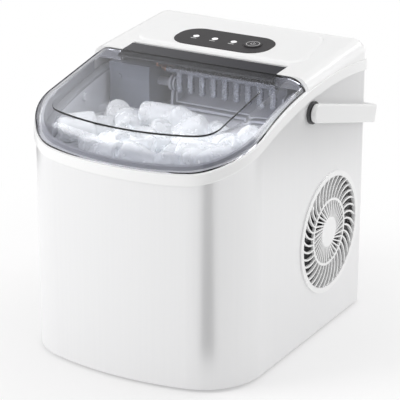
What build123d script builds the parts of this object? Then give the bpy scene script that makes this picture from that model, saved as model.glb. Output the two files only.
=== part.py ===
"""Countertop bullet ice maker as separate solids, one STEP file for each node.

Millimetres, +Z up. The machine stands on z = 0 with its bowed front facing -Y, its air
grille on +X and its folded carrying handle behind. The pieces are drawn about the middle of
the cabinet, and put_out() moves them so that the whole machine's box is centred on the origin.
"""
from build123d import *
import math
import os

# Cabinet seen from above
BODY_W = 226.0
FRONT_Y = -134.4
REAR_Y = 138.5
BOW_R = 281.7
CORNER_R = 58.5
REAR_R = 8.0
SKIN = 2.0
SKIRT_Z = 3.0
FIT = 0.3
TOUCH_FIT = 0.05
PRESS_FIT = 0.02

# The swept seam between the cabinet and the trim, seen from the side
SEAM_FRONT_Z = 192.8
SEAM_LOW_R = 40.0
SEAM_R = 438.0
SEAM_PEAK_Y = 75.0
SEAM_PEAK_Z = 243.0
TRIM_H = 10.4
TRIM_PROUD = 1.8
TRIM_IN = 5.0
TRIM_ROUND = 0.8

# Base and feet
FOOT_H = 4.0
FOOT_R = 10.0
FOOT_STUD_R = 2.5
FOOT_INSET_X = 32.0
FOOT_FRONT_INSET = 52.0
FOOT_REAR_INSET = 26.0
PAN_T = 2.5
PAN_RIM_H = 12.0

# Lid
LID_T = 2.4
LID_GROW = 0.3
LID_GAP = 0.5
LID_REAR_Y = 12.0
LID_RISE = 17.5
LID_SLOPE = 0.2
LID_ROUND = 18.0
WINDOW_IN = 11.5
WINDOW_SIDE_IN = 28.0
WINDOW_REAR_IN = 21.0
WINDOW_R = 20.0
WINDOW_PROUD = 1.2
WINDOW_ROUND = 0.8

# Lid hinge
TAB_SIDE_IN = 31.5
BARREL_R = 4.6
HINGE_BACK = 17.4
HINGE_DROP = 2.3
TONGUE = 8.0
TONGUE_T = 2.0
PIN_R = 1.6
PIN_IN = 8.0
PIN_OUT = 7.0
PIN_BOSS = 9.0

# Top housing and its raised deck
HOUSING_T = 2.5
HOUSING_GROW = 1.4
HOUSING_REAR_R = 14.0
HOUSING_ROUND = 12.5
HOUSING_STEP = 0.4
HOUSING_SLOPE = 0.072
NOTCH_GAP = 0.5
DECK_RAISE = 1.4
DECK_ROOT = 2.0
DECK_SIDE_IN = 20.0
DECK_SIDE_DEG = 79.5
DECK_FRONT_IN = 11.6
DECK_REAR_IN = 17.5
DECK_R = 16.0
DECK_DRAFT = 60.0
DECK_SOFT = 5.0

# Controls
FASCIA_BACK = 27.0
FASCIA_X = -3.5
FASCIA_W = 101.0
FASCIA_D = 45.0
FASCIA_R = 20.0
FASCIA_T = 1.2
FASCIA_SET = 0.8
FASCIA_ROUND = 0.25
CONTROL_PITCH = 20.4
BUTTON_X = 27.0
BUTTON_R = 8.6
BUTTON_PROUD = 1.0
BUTTON_ROUND = 0.5
BUTTON_FLANGE = 1.9
BUTTON_FLANGE_T = 1.5
BUTTON_STEM_R = 2.5
BUTTON_STEM_L = 1.2
BUTTON_TRAVEL = 1.2
LENS_COUNT = 3
LENS_R = 3.0
LENS_PROUD = 0.2
BOARD_T = 1.6
CONTROL_BOARD_W = 96.0
CONTROL_BOARD_D = 34.0
SWITCH_SIDE = 6.0
SWITCH_H = 2.0
SWITCH_SLACK = 0.4
POST_R = 2.6
POST_INSET = 4.0

# Bezel inside the lid
BEZEL_T = 2.5
LIP_T = 2.5
LIP_H = 14.0
LIP_END_IN = 12.0
LIP_CLEAR = 1.2

# Liner: evaporator shelf, ice bin and water tank
LINER_IN = 13.0
LINER_T = 2.5
SHELF_DROP = 27.5
SHELF_BACK = 25.0
SHELF_R = 8.0
BIN_Z = 116.0
BIN_REAR_IN = 10.0
BIN_R = 10.0
TANK_IN = 22.0
TANK_Z = 34.0
TANK_REAR_IN = 10.0
FOAM_GAP = 0.4
FOAM_IN = 4.6
FOAM_Z = 20.0
FOAM_REAR_IN = 4.0

# Ice basket
BASKET_IN = 19.5
BASKET_T = 1.8
BASKET_GAP = 0.3
BASKET_DROP = 3.2
BASKET_REAR_IN = 6.0
BASKET_R = 8.0
BASKET_RIM = 2.5
BASKET_RIM_T = 3.0
SLOT_W = 4.0
SLOT_L = 22.0
SLOT_PITCH_X = 13.0
SLOT_PITCH_Y = 28.0
SLOT_COLUMNS = 11
SLOT_ROWS = 3
GRIP_L = 44.0
GRIP_H = 14.0
GRIP_DROP = 9.0

# Ice making: tilting tray, shovel and evaporator
TRAY_BACK = 12.0
TRAY_DROP = 30.0
TRAY_R = 19.0
TRAY_T = 1.6
TRAY_LEFT = -30.0
TRAY_SIDE_IN = 27.0
TRAY_HUB_R = 7.0
TRAY_SHAFT_R = 4.0
SHOVEL_GAP = 2.0
SHOVEL_T = 2.4
SHOVEL_ARM_T = 2.5
SHOVEL_FROM_DEG = 262.0
SHOVEL_TO_DEG = 300.0
SHOVEL_HUB_R = 7.5
EVAP_SET = 7.5
EVAP_RISE = 15.7
EVAP_R = 4.2
EVAP_OVERHANG = 4.0
EVAP_CAP = 1.4
FINGER_COUNT = 9
FINGER_FIRST_X = -22.0
FINGER_END_IN = 10.4
FINGER_R = 3.6
FINGER_DIP = 6.5
BEARING_HALF = 8.0
BEARING_T = 5.5

# Tray drive
COVER_SIDE_IN = 21.0
COVER_RIGHT = -48.0
COVER_FRONT_IN = 7.0
COVER_DROP = 13.0
COVER_T = 2.0
COVER_SCREW_R = 2.6
COVER_SCREW_H = 1.0
MOTOR_R = 13.0
MOTOR_END_GAP = 10.0
MOTOR_SOCKET = 8.0

# Bin sensors and tank float
SENSOR_R = 4.0
SENSOR_H = 3.0
SENSOR_Y = -30.0
SENSOR_RISE = 18.0
FLOAT_SIDE_IN = 53.0
FLOAT_Y = -30.0
STEM_R = 3.0
STEM_L = 64.0
STEM_FOOT_R = 10.0
STEM_COLLAR_R = 5.5
STEM_COLLAR_T = 2.5
FLOAT_R = 11.0
FLOAT_H = 14.0
FLOAT_BASE = 9.0
FLOAT_TRAVEL = 25.0

# Carrying handle
HANDLE_BACK = 10.5
HANDLE_DROP = 12.9
HANDLE_W = 17.4
HANDLE_T = 5.5
HANDLE_REAR_GAP = 1.8
HANDLE_DROOP_DEG = 15.2
HANDLE_CORNER_R = 8.0
HANDLE_ROUND = 1.5
PIVOT_FLANGE_R = 10.5
PIVOT_FLANGE_T = 2.5
PIVOT_R = 5.0
PIVOT_L = 4.2
PIVOT_SHANK_R = 6.0
PIVOT_NUT_R = 10.0
PIVOT_NUT_T = 3.0
HANDLE_SLACK = 0.5

# Air grille, fan and condenser
GRILLE_Y = 64.5
GRILLE_Z = 97.5
GRILLE_R = 56.5
GRILLE_T = 2.4
GRILLE_FLANGE_W = 2.5
GRILLE_FLANGE_T = 1.2
GRILLE_RIBS = 36
GRILLE_DISC_R = 14.5
GRILLE_RING_R = 31.5
GRILLE_RING_W = 2.4
GRILLE_EDGE_R = 54.0
GRILLE_RIB_IN = 1.3
GRILLE_RIB_OUT = 2.4
GRILLE_SWEEP_DEG = 14.0
FAN_R = 48.0
FAN_HUB_R = 17.0
FAN_HUB_L = 14.0
FAN_BLADES = 5
FAN_BLADE_T = 2.0
FAN_PITCH_DEG = 32.0
FAN_CHORD = 26.0
FAN_SHAFT_R = 2.0
FAN_GRILLE_GAP = 7.0
FAN_FRAME_GAP = 4.0
FAN_FRAME_T = 2.5
FAN_FRAME_HALF = 55.0
FAN_RING_GAP = 2.5
FAN_ARM_W = 6.0
FAN_MOTOR_R = 15.0
FAN_MOTOR_L = 16.0
FAN_LEG_W = 12.0
COIL_R = 4.0
COIL_PITCH = 18.0
COIL_PASSES = 6
COIL_LEAD = 7.0
FIN_COUNT = 22
FIN_T = 0.5
FIN_DEPTH = 34.0
FIN_MARGIN = 9.0
FIN_END_T = 1.4
FIN_HALF_L = 43.0
COND_GAP = 2.0

# Compressor and refrigerant lines
COMP_SIDE_GAP = 12.0
COMP_REAR_GAP = 7.5
COMP_PUMP_GAP = 4.0
COMP_TOP_Z = 140.0
COMP_TOP_ROUND = 22.0
COMP_LOW_ROUND = 8.0
COMP_WELD_PROUD = 2.5
COMP_WELD_T = 3.0
COMP_PLATE_LAP = 3.0
COMP_PLATE_T = 3.0
COMP_BOLT_IN = 8.0
GROMMET_R = 8.0
GROMMET_H = 13.5
BOLT_R = 2.5
BOLT_HEAD_R = 5.5
BOLT_HEAD_H = 3.0
TERMINAL_W = 28.0
TERMINAL_D = 12.0
TERMINAL_H = 30.0
LINE_R = 2.5
SUCTION_R = 3.2
CAPILLARY_R = 1.2
LINE_BEND = 6.0
CAPILLARY_BEND = 2.4
LINE_LIFT = 28.0
LINE_RUN = 7.0
LINE_GAP = 1.5
SUCTION_LIFT = 40.0
CAPILLARY_LIFT = 60.0
PIPE_BACK = 9.0
DRIER_GAP = 0.5
DRIER_REAR_IN = 36.5
DRIER_R = 8.0
DRIER_Z = 122.0
DRIER_L = 48.0
DRIER_NECK = 8.0
DRIER_NECK_R = 3.5

# Water pump, hoses and drain
PUMP_SIDE_GAP = 4.5
PUMP_Y = 44.0
PUMP_R = 16.0
PUMP_H = 14.0
PUMP_MOTOR_R = 13.0
PUMP_MOTOR_H = 34.0
PUMP_FOOT = 3.5
PUMP_WALL = 2.0
IMPELLER_R = 11.0
IMPELLER_HUB_R = 4.5
IMPELLER_SHAFT_R = 1.5
IMPELLER_SHAFT_L = 12.0
IMPELLER_VANES = 6
IMPELLER_VANE_T = 1.6
IMPELLER_SLACK = 1.0
SPIGOT_R = 4.0
SPIGOT_L = 9.0
SPIGOT_BORE = 2.6
HOSE_R = 5.6
HOSE_BEND = 8.0
INTAKE_RISE = 8.0
NOZZLE_FRONT_IN = 4.0
NOZZLE_RISE = 15.5
NOZZLE_CLEAR = 1.0
HOSE_RUN = 9.0
DRAIN_SIDE_IN = 37.0
DRAIN_Y = -40.0
DRAIN_Z = 21.0
DRAIN_R = 7.0
DRAIN_BORE = 5.0
DRAIN_BEND = 8.0
DRAIN_PROUD = 1.0
PLUG_L = 12.0
PLUG_CAP_R = 9.0
PLUG_CAP_T = 3.0
PLUG_TAB_L = 7.0
PLUG_TAB_T = 2.4

# Rear panel, its fasteners, mains gland and power board
PANEL_SIDE_IN = 11.0
PANEL_LOW_Z = 8.0
PANEL_DROP = 9.4
PANEL_LAP = 8.0
LOUVRE_END_IN = 29.0
LOUVRE_H = 4.0
LOUVRE_PITCH = 10.0
LOUVRE_COUNT = 8
LOUVRE_LOW_Z = 58.0
LOUVRE_MID_IN = 11.0
SCREW_R = 1.5
SCREW_L = 6.0
SCREW_HEAD_R = 3.0
SCREW_HEAD_H = 1.6
PANEL_SCREW_ROWS = 4
GLAND_SIDE_IN = 24.0
GLAND_Z = 32.0
GLAND_R = 7.0
GLAND_FLANGE_R = 9.5
GLAND_FLANGE_T = 2.5
GLAND_BORE = 3.3
MAIN_BOARD_LEFT = -24.0
MAIN_BOARD_SIDE_IN = 36.0
MAIN_BOARD_DROP = 3.0
MAIN_BOARD_H = 60.0
MAIN_BOARD_STANDOFF = 5.0
PART_INSET = 9.0
RELAY_COUNT = 2
RELAY_PITCH = 20.0
RELAY_W = 14.0
RELAY_H = 16.0
TRANSFORMER_W = 24.0
TRANSFORMER_H = 20.0

# Worked out from the sizes above: the outline and the seam
FAR = 320.0
LOW = -20.0
HALF_W = BODY_W / 2
CORNER_X = HALF_W - CORNER_R
BOW_Y = FRONT_Y + BOW_R
CORNER_Y = BOW_Y - math.sqrt((BOW_R - CORNER_R) ** 2 - CORNER_X ** 2)
SEAM_HIGH = (SEAM_PEAK_Y, SEAM_PEAK_Z - SEAM_R)
SEAM_LOW_CENTRE_Z = SEAM_FRONT_Z + SEAM_LOW_R
SEAM_LOW = (
    SEAM_PEAK_Y - math.sqrt((SEAM_R + SEAM_LOW_R) ** 2 - (SEAM_LOW_CENTRE_Z - SEAM_HIGH[1]) ** 2),
    SEAM_LOW_CENTRE_Z,
)
SEAM_TURN = math.atan2(SEAM_HIGH[0] - SEAM_LOW[0], SEAM_LOW[1] - SEAM_HIGH[1])
SEAM_JOIN_Y = SEAM_HIGH[0] - SEAM_R * math.sin(SEAM_TURN)


def seam_z(y):
    """Height of the seam at a place along the side."""
    if y < SEAM_LOW[0]:
        return SEAM_FRONT_Z
    if y < SEAM_JOIN_Y:
        return SEAM_LOW[1] - math.sqrt(SEAM_LOW_R ** 2 - (y - SEAM_LOW[0]) ** 2)
    return SEAM_HIGH[1] + math.sqrt(SEAM_R ** 2 - (y - SEAM_HIGH[0]) ** 2)


# Worked out from the sizes above: lid, housing and controls
LID_REAR_Z = SEAM_PEAK_Z + LID_RISE
LID_FALL = LID_T * math.sqrt(1 + LID_SLOPE ** 2)
WINDOW_REAR_Y = LID_REAR_Y - WINDOW_REAR_IN
WINDOW_HALF = HALF_W + LID_GROW - WINDOW_SIDE_IN
TAB_HALF = HALF_W - TAB_SIDE_IN
HINGE_Y = LID_REAR_Y + HINGE_BACK
HINGE_Z = LID_REAR_Z - HINGE_DROP
HOUSING_FRONT_Z = LID_REAR_Z + HOUSING_STEP
LIP_END_Y = LID_REAR_Y - LIP_END_IN
DECK_HALF = HALF_W - DECK_SIDE_IN
DECK_FRONT_Y = HINGE_Y + DECK_FRONT_IN
DECK_REAR_Y = REAR_Y - DECK_REAR_IN
DECK_DEG = math.degrees(math.atan(HOUSING_SLOPE))
DECK_T = DECK_RAISE + HOUSING_T * math.cos(math.radians(DECK_DEG))
FASCIA_Y = DECK_FRONT_Y + FASCIA_BACK
FASCIA_TOP = FASCIA_T - FASCIA_SET
BUTTON_FLANGE_Z = -DECK_T - FIT - BUTTON_FLANGE_T
SWITCH_TOP = BUTTON_FLANGE_Z - BUTTON_STEM_L - BUTTON_TRAVEL - SWITCH_SLACK
BOARD_TOP = SWITCH_TOP - SWITCH_H
CONTROL_XS = [BUTTON_X - CONTROL_PITCH * (LENS_COUNT - i) for i in range(LENS_COUNT)]

# Worked out from the sizes above: handle, base and rear panel
DROOP = math.radians(HANDLE_DROOP_DEG)
HANDLE_INNER_X = HALF_W + PIVOT_FLANGE_T + HANDLE_SLACK
HANDLE_OUTER_X = HANDLE_INNER_X + HANDLE_T
HANDLE_Y = LID_REAR_Y + HANDLE_BACK
HANDLE_Z = seam_z(HANDLE_Y) - HANDLE_DROP
HANDLE_ROOM = REAR_Y + HANDLE_REAR_GAP - HANDLE_Y + HANDLE_W / 2 * math.sin(DROOP)
HANDLE_REACH = HANDLE_ROOM / math.cos(DROOP) + HANDLE_T
HANDLE_REAR_Y = (HANDLE_Y + HANDLE_ROUND + (HANDLE_REACH - HANDLE_ROUND) * math.cos(DROOP)
                 + (HANDLE_W / 2 - HANDLE_ROUND) * math.sin(DROOP))
SHIFT_Y = -(HANDLE_REAR_Y + FRONT_Y - TRIM_PROUD) / 2
PAN_TOP = FOOT_H + PAN_T
PANEL_HALF = HALF_W - PANEL_SIDE_IN
PANEL_Y = REAR_Y - SKIN
PANEL_TOP_Z = seam_z(REAR_Y) - PANEL_DROP
LOUVRE_W = PANEL_HALF - LOUVRE_MID_IN - LOUVRE_END_IN
LOUVRE_X = LOUVRE_MID_IN + LOUVRE_W / 2
GLAND_X = GLAND_SIDE_IN - PANEL_HALF
MAIN_BOARD_RIGHT = PANEL_HALF - MAIN_BOARD_SIDE_IN
MAIN_BOARD_TOP_Z = PANEL_TOP_Z - MAIN_BOARD_DROP
MAIN_BOARD_LOW_Z = MAIN_BOARD_TOP_Z - MAIN_BOARD_H

# Worked out from the sizes above: bin, tank and ice making
TRAY_Y = LID_REAR_Y + TRAY_BACK
TRAY_Z = LID_REAR_Z - TRAY_DROP
TRAY_RIGHT = HALF_W - TRAY_SIDE_IN
SHOVEL_R = TRAY_R + SHOVEL_GAP
EVAP_Y = TRAY_Y - EVAP_SET
EVAP_Z = TRAY_Z + EVAP_RISE
FINGER_PITCH = (TRAY_RIGHT - FINGER_END_IN - FINGER_FIRST_X) / (FINGER_COUNT - 1)
FINGER_TIP_Z = TRAY_Z - FINGER_DIP
SHELF_IN_X = HALF_W - LINER_IN - LINER_T
SHELF_Z = TRAY_Z - SHELF_DROP
SHELF_REAR_Y = TRAY_Y + SHELF_BACK
BIN_REAR_Y = LID_REAR_Y - BIN_REAR_IN
TANK_REAR_Y = BIN_REAR_Y - TANK_REAR_IN
FOAM_REAR_Y = TANK_REAR_Y - FOAM_REAR_IN
BASKET_REAR_Y = BIN_REAR_Y - BASKET_REAR_IN
BASKET_LOW_Z = BIN_Z + LINER_T + BASKET_GAP
BASKET_TOP_Z = SHELF_Z - BASKET_DROP
SENSOR_Z = SHELF_Z + SENSOR_RISE
FLOAT_X = FLOAT_SIDE_IN - HALF_W
COVER_LEFT = COVER_SIDE_IN - HALF_W
COVER_FRONT_Y = LID_REAR_Y - COVER_FRONT_IN
COVER_TOP_Z = LID_REAR_Z - COVER_DROP
MOTOR_L = COVER_RIGHT - COVER_LEFT - 2 * COVER_T - MOTOR_END_GAP

# Worked out from the sizes above: cooling and water
FAN_TIP_X = HALF_W - FAN_GRILLE_GAP
FAN_BACK_X = FAN_TIP_X - FAN_HUB_L
FRAME_X = FAN_BACK_X - FAN_FRAME_GAP
FAN_MOTOR_X = FRAME_X - FAN_FRAME_T
COND_X = FAN_MOTOR_X - FAN_MOTOR_L - COND_GAP - FIN_DEPTH / 2
COIL_LOW_Z = GRILLE_Z - COIL_PITCH * (COIL_PASSES - 1) / 2
COIL_TOP_Z = GRILLE_Z + COIL_PITCH * (COIL_PASSES - 1) / 2
COIL_END_Y = GRILLE_Y - FIN_HALF_L - COIL_LEAD
PUMP_X = COND_X - FIN_DEPTH / 2 - PUMP_SIDE_GAP - PUMP_R
COMP_PLATE_HALF = (HALF_W - COMP_SIDE_GAP + PUMP_X - PUMP_R - COMP_PUMP_GAP) / 2
COMP_R = COMP_PLATE_HALF - COMP_PLATE_LAP
COMP_WELD_R = COMP_R + COMP_WELD_PROUD
COMP_BOLT = COMP_PLATE_HALF - COMP_BOLT_IN
COMP_X = COMP_SIDE_GAP + COMP_PLATE_HALF - HALF_W
COMP_Y = REAR_Y - COMP_REAR_GAP - COMP_PLATE_HALF
DRIER_X = COMP_X + COMP_WELD_R + DRIER_GAP + DRIER_R
DRIER_Y = REAR_Y - DRIER_REAR_IN
COMP_PLATE_Z = PAN_TOP + GROMMET_H
COMP_CAN_Z = COMP_PLATE_Z + COMP_PLATE_T
LINE_Y = COIL_END_Y - LINE_RUN
PUMP_BODY_Z = PAN_TOP + PUMP_FOOT
PUMP_MID_Z = PUMP_BODY_Z + PUMP_H / 2
INTAKE_Z = TANK_Z + INTAKE_RISE
NOZZLE_Y = SHELF_REAR_Y - NOZZLE_FRONT_IN
NOZZLE_Z = TRAY_Z + NOZZLE_RISE
DRAIN_X = HALF_W - DRAIN_SIDE_IN
DRAIN_END_Y = REAR_Y + DRAIN_PROUD


def box(x0, x1, y0, y1, z0, z1):
    """A box given by its six sides."""
    middle = Pos((x0 + x1) / 2, (y0 + y1) / 2, (z0 + z1) / 2)
    return middle * Box(abs(x1 - x0), abs(y1 - y0), abs(z1 - z0))


def block(x, y, z, w, d, h):
    """A box given by its middle and its size."""
    return Pos(x, y, z) * Box(w, d, h)


def rod_x(x0, x1, y, z, r):
    """A cylinder along X."""
    return Pos((x0 + x1) / 2, y, z) * Rot(0, 90, 0) * Cylinder(r, abs(x1 - x0))


def rod_y(y0, y1, x, z, r):
    """A cylinder along Y."""
    return Pos(x, (y0 + y1) / 2, z) * Rot(90, 0, 0) * Cylinder(r, abs(y1 - y0))


def rod_z(z0, z1, x, y, r):
    """A cylinder along Z."""
    return Pos(x, y, (z0 + z1) / 2) * Cylinder(r, abs(z1 - z0))


def both_sides(shape):
    """The shape and its mirror image across the middle plane."""
    return [shape, mirror(shape, about=Plane.YZ)]


def plan(grow, y_rear=None, rear_r=None):
    """The cabinet's outline seen from above, moved outwards by grow, as a flat face."""
    half = HALF_W + grow
    bow, corner = BOW_R + grow, CORNER_R + grow
    back = REAR_Y + grow if y_rear is None else y_rear
    bend = REAR_R + grow if rear_r is None else rear_r
    turn = math.atan2(CORNER_X, BOW_Y - CORNER_Y)
    join = (bow * math.sin(turn), BOW_Y - bow * math.cos(turn))
    mid = (turn - math.pi / 2) / 2
    knee = (CORNER_X + corner * math.cos(mid), CORNER_Y + corner * math.sin(mid))
    edges = [ThreePointArc((-join[0], join[1]), (0, BOW_Y - bow), join)]
    for side in (1, -1):
        start, via, stop = [(side * x, y) for x, y in (join, knee, (half, CORNER_Y))]
        edges.append(ThreePointArc(start, via, stop))
        edges.append(Line(stop, (side * half, back - bend)))
        if bend > 0:
            reach = bend * math.sqrt(0.5)
            via = (side * (half - bend + reach), back - bend + reach)
            edges.append(ThreePointArc((side * half, back - bend), via, (side * (half - bend), back)))
    edges.append(Line((bend - half, back), (half - bend, back)))
    return Face(Wire(edges))


def prism(face, z0, z1):
    """A flat outline drawn up from z0 to z1."""
    return Pos(0, 0, z0) * extrude(face, amount=z1 - z0, dir=(0, 0, 1))


def side_prism(edges):
    """A closed outline in the side view, drawn out across the whole width."""
    return extrude(Face(Wire(edges)), amount=FAR, both=True)


def side_polygon(points, half):
    """A straight-sided outline of (y, z) points, drawn out to both sides by half."""
    corners = [(0, y, z) for y, z in points]
    edges = [Line(corners[i - 1], corners[i]) for i in range(len(corners))]
    return extrude(Face(Wire(edges)), amount=half, both=True)


def below_seam(lift):
    """Everything under the seam raised by lift."""
    def at(y):
        """A point on the raised seam."""
        return (0, y, seam_z(y) + lift)

    front, back = (0, -FAR, SEAM_FRONT_Z + lift), at(SEAM_PEAK_Y + SEAM_R / 2)
    join = at(SEAM_JOIN_Y)
    low = (0, SEAM_LOW[0], SEAM_FRONT_Z + lift)
    return side_prism([
        Line((0, -FAR, LOW), front),
        Line(front, low),
        ThreePointArc(low, at((SEAM_LOW[0] + SEAM_JOIN_Y) / 2), join),
        ThreePointArc(join, at((SEAM_JOIN_Y + SEAM_PEAK_Y) / 2), back),
        Line(back, (0, back[1], LOW)),
        Line((0, back[1], LOW), (0, -FAR, LOW)),
    ])


def lid_z(y):
    """Height of the lid's sloping top plane."""
    return LID_REAR_Z + LID_SLOPE * (y - LID_REAR_Y)


def below_slope(height, slope, y_zero):
    """Everything under a plane that passes through height at y_zero."""
    ends = [(y, height + slope * (y - y_zero)) for y in (-FAR, FAR)]
    return side_polygon([(-FAR, LOW), ends[0], ends[1], (FAR, LOW)], FAR)


def lid_volume(inset):
    """The lid's rounded outer form, with all its sides moved in by inset."""
    spare = LID_ROUND * 2
    fall = inset * math.sqrt(1 + LID_SLOPE ** 2)
    block = prism(plan(LID_GROW - inset, LID_REAR_Y + spare, 0), SEAM_FRONT_Z / 2, FAR)
    block &= below_slope(LID_REAR_Z - fall, LID_SLOPE, LID_REAR_Y)
    top = block.faces().sort_by(Axis.Z)[-1]
    rims = [e for e in top.edges() if e.center().Y < LID_REAR_Y + spare / 2]
    block = fillet(rims, LID_ROUND - inset)
    return block & box(-FAR, FAR, -FAR, LID_REAR_Y - inset, LOW, FAR)


def on_deck(shape):
    """Move a shape drawn about the fascia's middle, with z = 0 on the deck, to its place."""
    height = HOUSING_FRONT_Z + HOUSING_SLOPE * (FASCIA_Y - LID_REAR_Y) + DECK_RAISE
    return Pos(0, FASCIA_Y, height) * Rot(DECK_DEG, 0, 0) * shape


def hose_notch():
    """Room for the delivery hose where it crosses the liner's rear wall."""
    half = HOSE_R + NOZZLE_CLEAR
    return box(PUMP_X - half, PUMP_X + half, NOZZLE_Y - HOSE_R, FAR, NOZZLE_Z - half, FAR)


def tube(points, r, bend):
    """A round bar along straight runs with rounded bends."""
    path = FilletPolyline(*points, radius=bend)
    return sweep(Plane(path @ 0, z_dir=path % 0) * Circle(r), path=path)


def screw_y(x, y, z, r, length, head_r, head_h):
    """A screw driven towards -Y, with its head on the plane y."""
    return rod_y(y - length, y, x, z, r) + rod_y(y, y + head_h, x, z, head_r)


def put_out(name, *solids):
    """Write the node's solids, moved so that the machine's box is centred on the origin."""
    moved = [Pos(0, SHIFT_Y, 0) * solid for shape in solids for solid in shape.solids()]
    export_step(moved[0] if len(moved) == 1 else Compound(children=moved), f"parts/{name}.step")


def make_cabinet():
    """Base pan, feet, skin, rear panel and what is fixed to the panel."""
    feet = [(side * (HALF_W - FOOT_INSET_X), y) for side in (1, -1)
            for y in (FRONT_Y + FOOT_FRONT_INSET, REAR_Y - FOOT_REAR_INSET)]
    bolts = [(COMP_X + i * COMP_BOLT, COMP_Y + j * COMP_BOLT) for i in (1, -1) for j in (1, -1)]
    pan_in = SKIN + FIT
    pan = prism(plan(-pan_in), FOOT_H, PAN_TOP + PAN_RIM_H)
    pan -= prism(plan(-pan_in - PAN_T), PAN_TOP, FAR)
    for x, y in feet:
        pan -= rod_z(LOW, PAN_TOP, x, y, FOOT_STUD_R + TOUCH_FIT)
    for x, y in bolts:
        pan -= rod_z(LOW, PAN_TOP, x, y, BOLT_R + TOUCH_FIT)
    rim_y, rim_half = REAR_Y - pan_in - PAN_T, PANEL_HALF + FIT
    pan -= box(-rim_half, rim_half, rim_y, FAR, PANEL_LOW_Z - FIT, FAR)
    put_out("base_pan", pan)
    put_out("foot_pads", *[
        rod_z(0, FOOT_H, x, y, FOOT_R) + rod_z(FOOT_H, PAN_TOP, x, y, FOOT_STUD_R) for x, y in feet])

    opening = PANEL_HALF - PANEL_LAP
    skin = prism(plan(0), SKIRT_Z, FAR) - prism(plan(-SKIN), LOW, FAR)
    skin &= below_seam(0)
    skin -= box(-opening, opening, PANEL_Y - SKIN, FAR, PANEL_LOW_Z + PANEL_LAP, PANEL_TOP_Z - PANEL_LAP)
    skin -= rod_x(0, FAR, GRILLE_Y, GRILLE_Z, GRILLE_R + FIT)
    skin -= rod_x(-FAR, FAR, HANDLE_Y, HANDLE_Z, PIVOT_SHANK_R + TOUCH_FIT)
    skin -= rod_y(0, FAR, DRAIN_X, DRAIN_Z, DRAIN_R + TOUCH_FIT)

    panel = box(-PANEL_HALF, PANEL_HALF, PANEL_Y - SKIN, PANEL_Y, PANEL_LOW_Z, PANEL_TOP_Z)
    for i in range(LOUVRE_COUNT):
        z = LOUVRE_LOW_Z + i * LOUVRE_PITCH
        for x in (LOUVRE_X, -LOUVRE_X):
            slot = Plane.XZ * Pos(x, z) * SlotOverall(LOUVRE_W, LOUVRE_H)
            panel -= extrude(slot, amount=FAR, both=True)
    panel -= rod_y(0, FAR, DRAIN_X, DRAIN_Z, DRAIN_R + TOUCH_FIT)
    panel -= rod_y(0, FAR, GLAND_X, GLAND_Z, GLAND_R + TOUCH_FIT)
    pitch = (PANEL_TOP_Z - PANEL_LOW_Z - PANEL_LAP) / (PANEL_SCREW_ROWS - 1)
    screws = []
    for side in (1, -1):
        for i in range(PANEL_SCREW_ROWS):
            x, z = side * (PANEL_HALF - PANEL_LAP / 2), PANEL_LOW_Z + PANEL_LAP / 2 + pitch * i
            hole = rod_y(0, FAR, x, z, SCREW_R + TOUCH_FIT)
            panel -= hole
            skin -= hole
            screws.append(screw_y(x, REAR_Y, z, SCREW_R, SCREW_L, SCREW_HEAD_R, SCREW_HEAD_H))
    put_out("cabinet_skin", skin)
    put_out("rear_panel", panel)
    put_out("rear_panel_screws", *screws)

    inside = PANEL_Y - SKIN
    gland = rod_y(inside - GLAND_FLANGE_T, PANEL_Y + GLAND_FLANGE_T, GLAND_X, GLAND_Z, GLAND_R)
    for y in (inside - GLAND_FLANGE_T, PANEL_Y):
        gland += rod_y(y, y + GLAND_FLANGE_T, GLAND_X, GLAND_Z, GLAND_FLANGE_R)
    put_out("cord_gland", gland - rod_y(0, FAR, GLAND_X, GLAND_Z, GLAND_BORE))

    face = inside - MAIN_BOARD_STANDOFF
    board = box(MAIN_BOARD_LEFT, MAIN_BOARD_RIGHT, face - BOARD_T, face, MAIN_BOARD_LOW_Z, MAIN_BOARD_TOP_Z)
    for x in (MAIN_BOARD_LEFT + POST_INSET, MAIN_BOARD_RIGHT - POST_INSET):
        for z in (MAIN_BOARD_LOW_Z + POST_INSET, MAIN_BOARD_TOP_Z - POST_INSET):
            board += rod_y(face, inside, x, z, POST_R)
    front, low = face - BOARD_T, MAIN_BOARD_LOW_Z + PART_INSET
    for i in range(RELAY_COUNT):
        x = MAIN_BOARD_LEFT + PART_INSET + i * RELAY_PITCH
        board += box(x, x + RELAY_W, front - RELAY_H, front, low, low + RELAY_W)
    x = MAIN_BOARD_RIGHT - PART_INSET
    board += box(x - TRANSFORMER_W, x, front - TRANSFORMER_H, front, low, low + TRANSFORMER_W)
    put_out("main_board", board)


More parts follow.
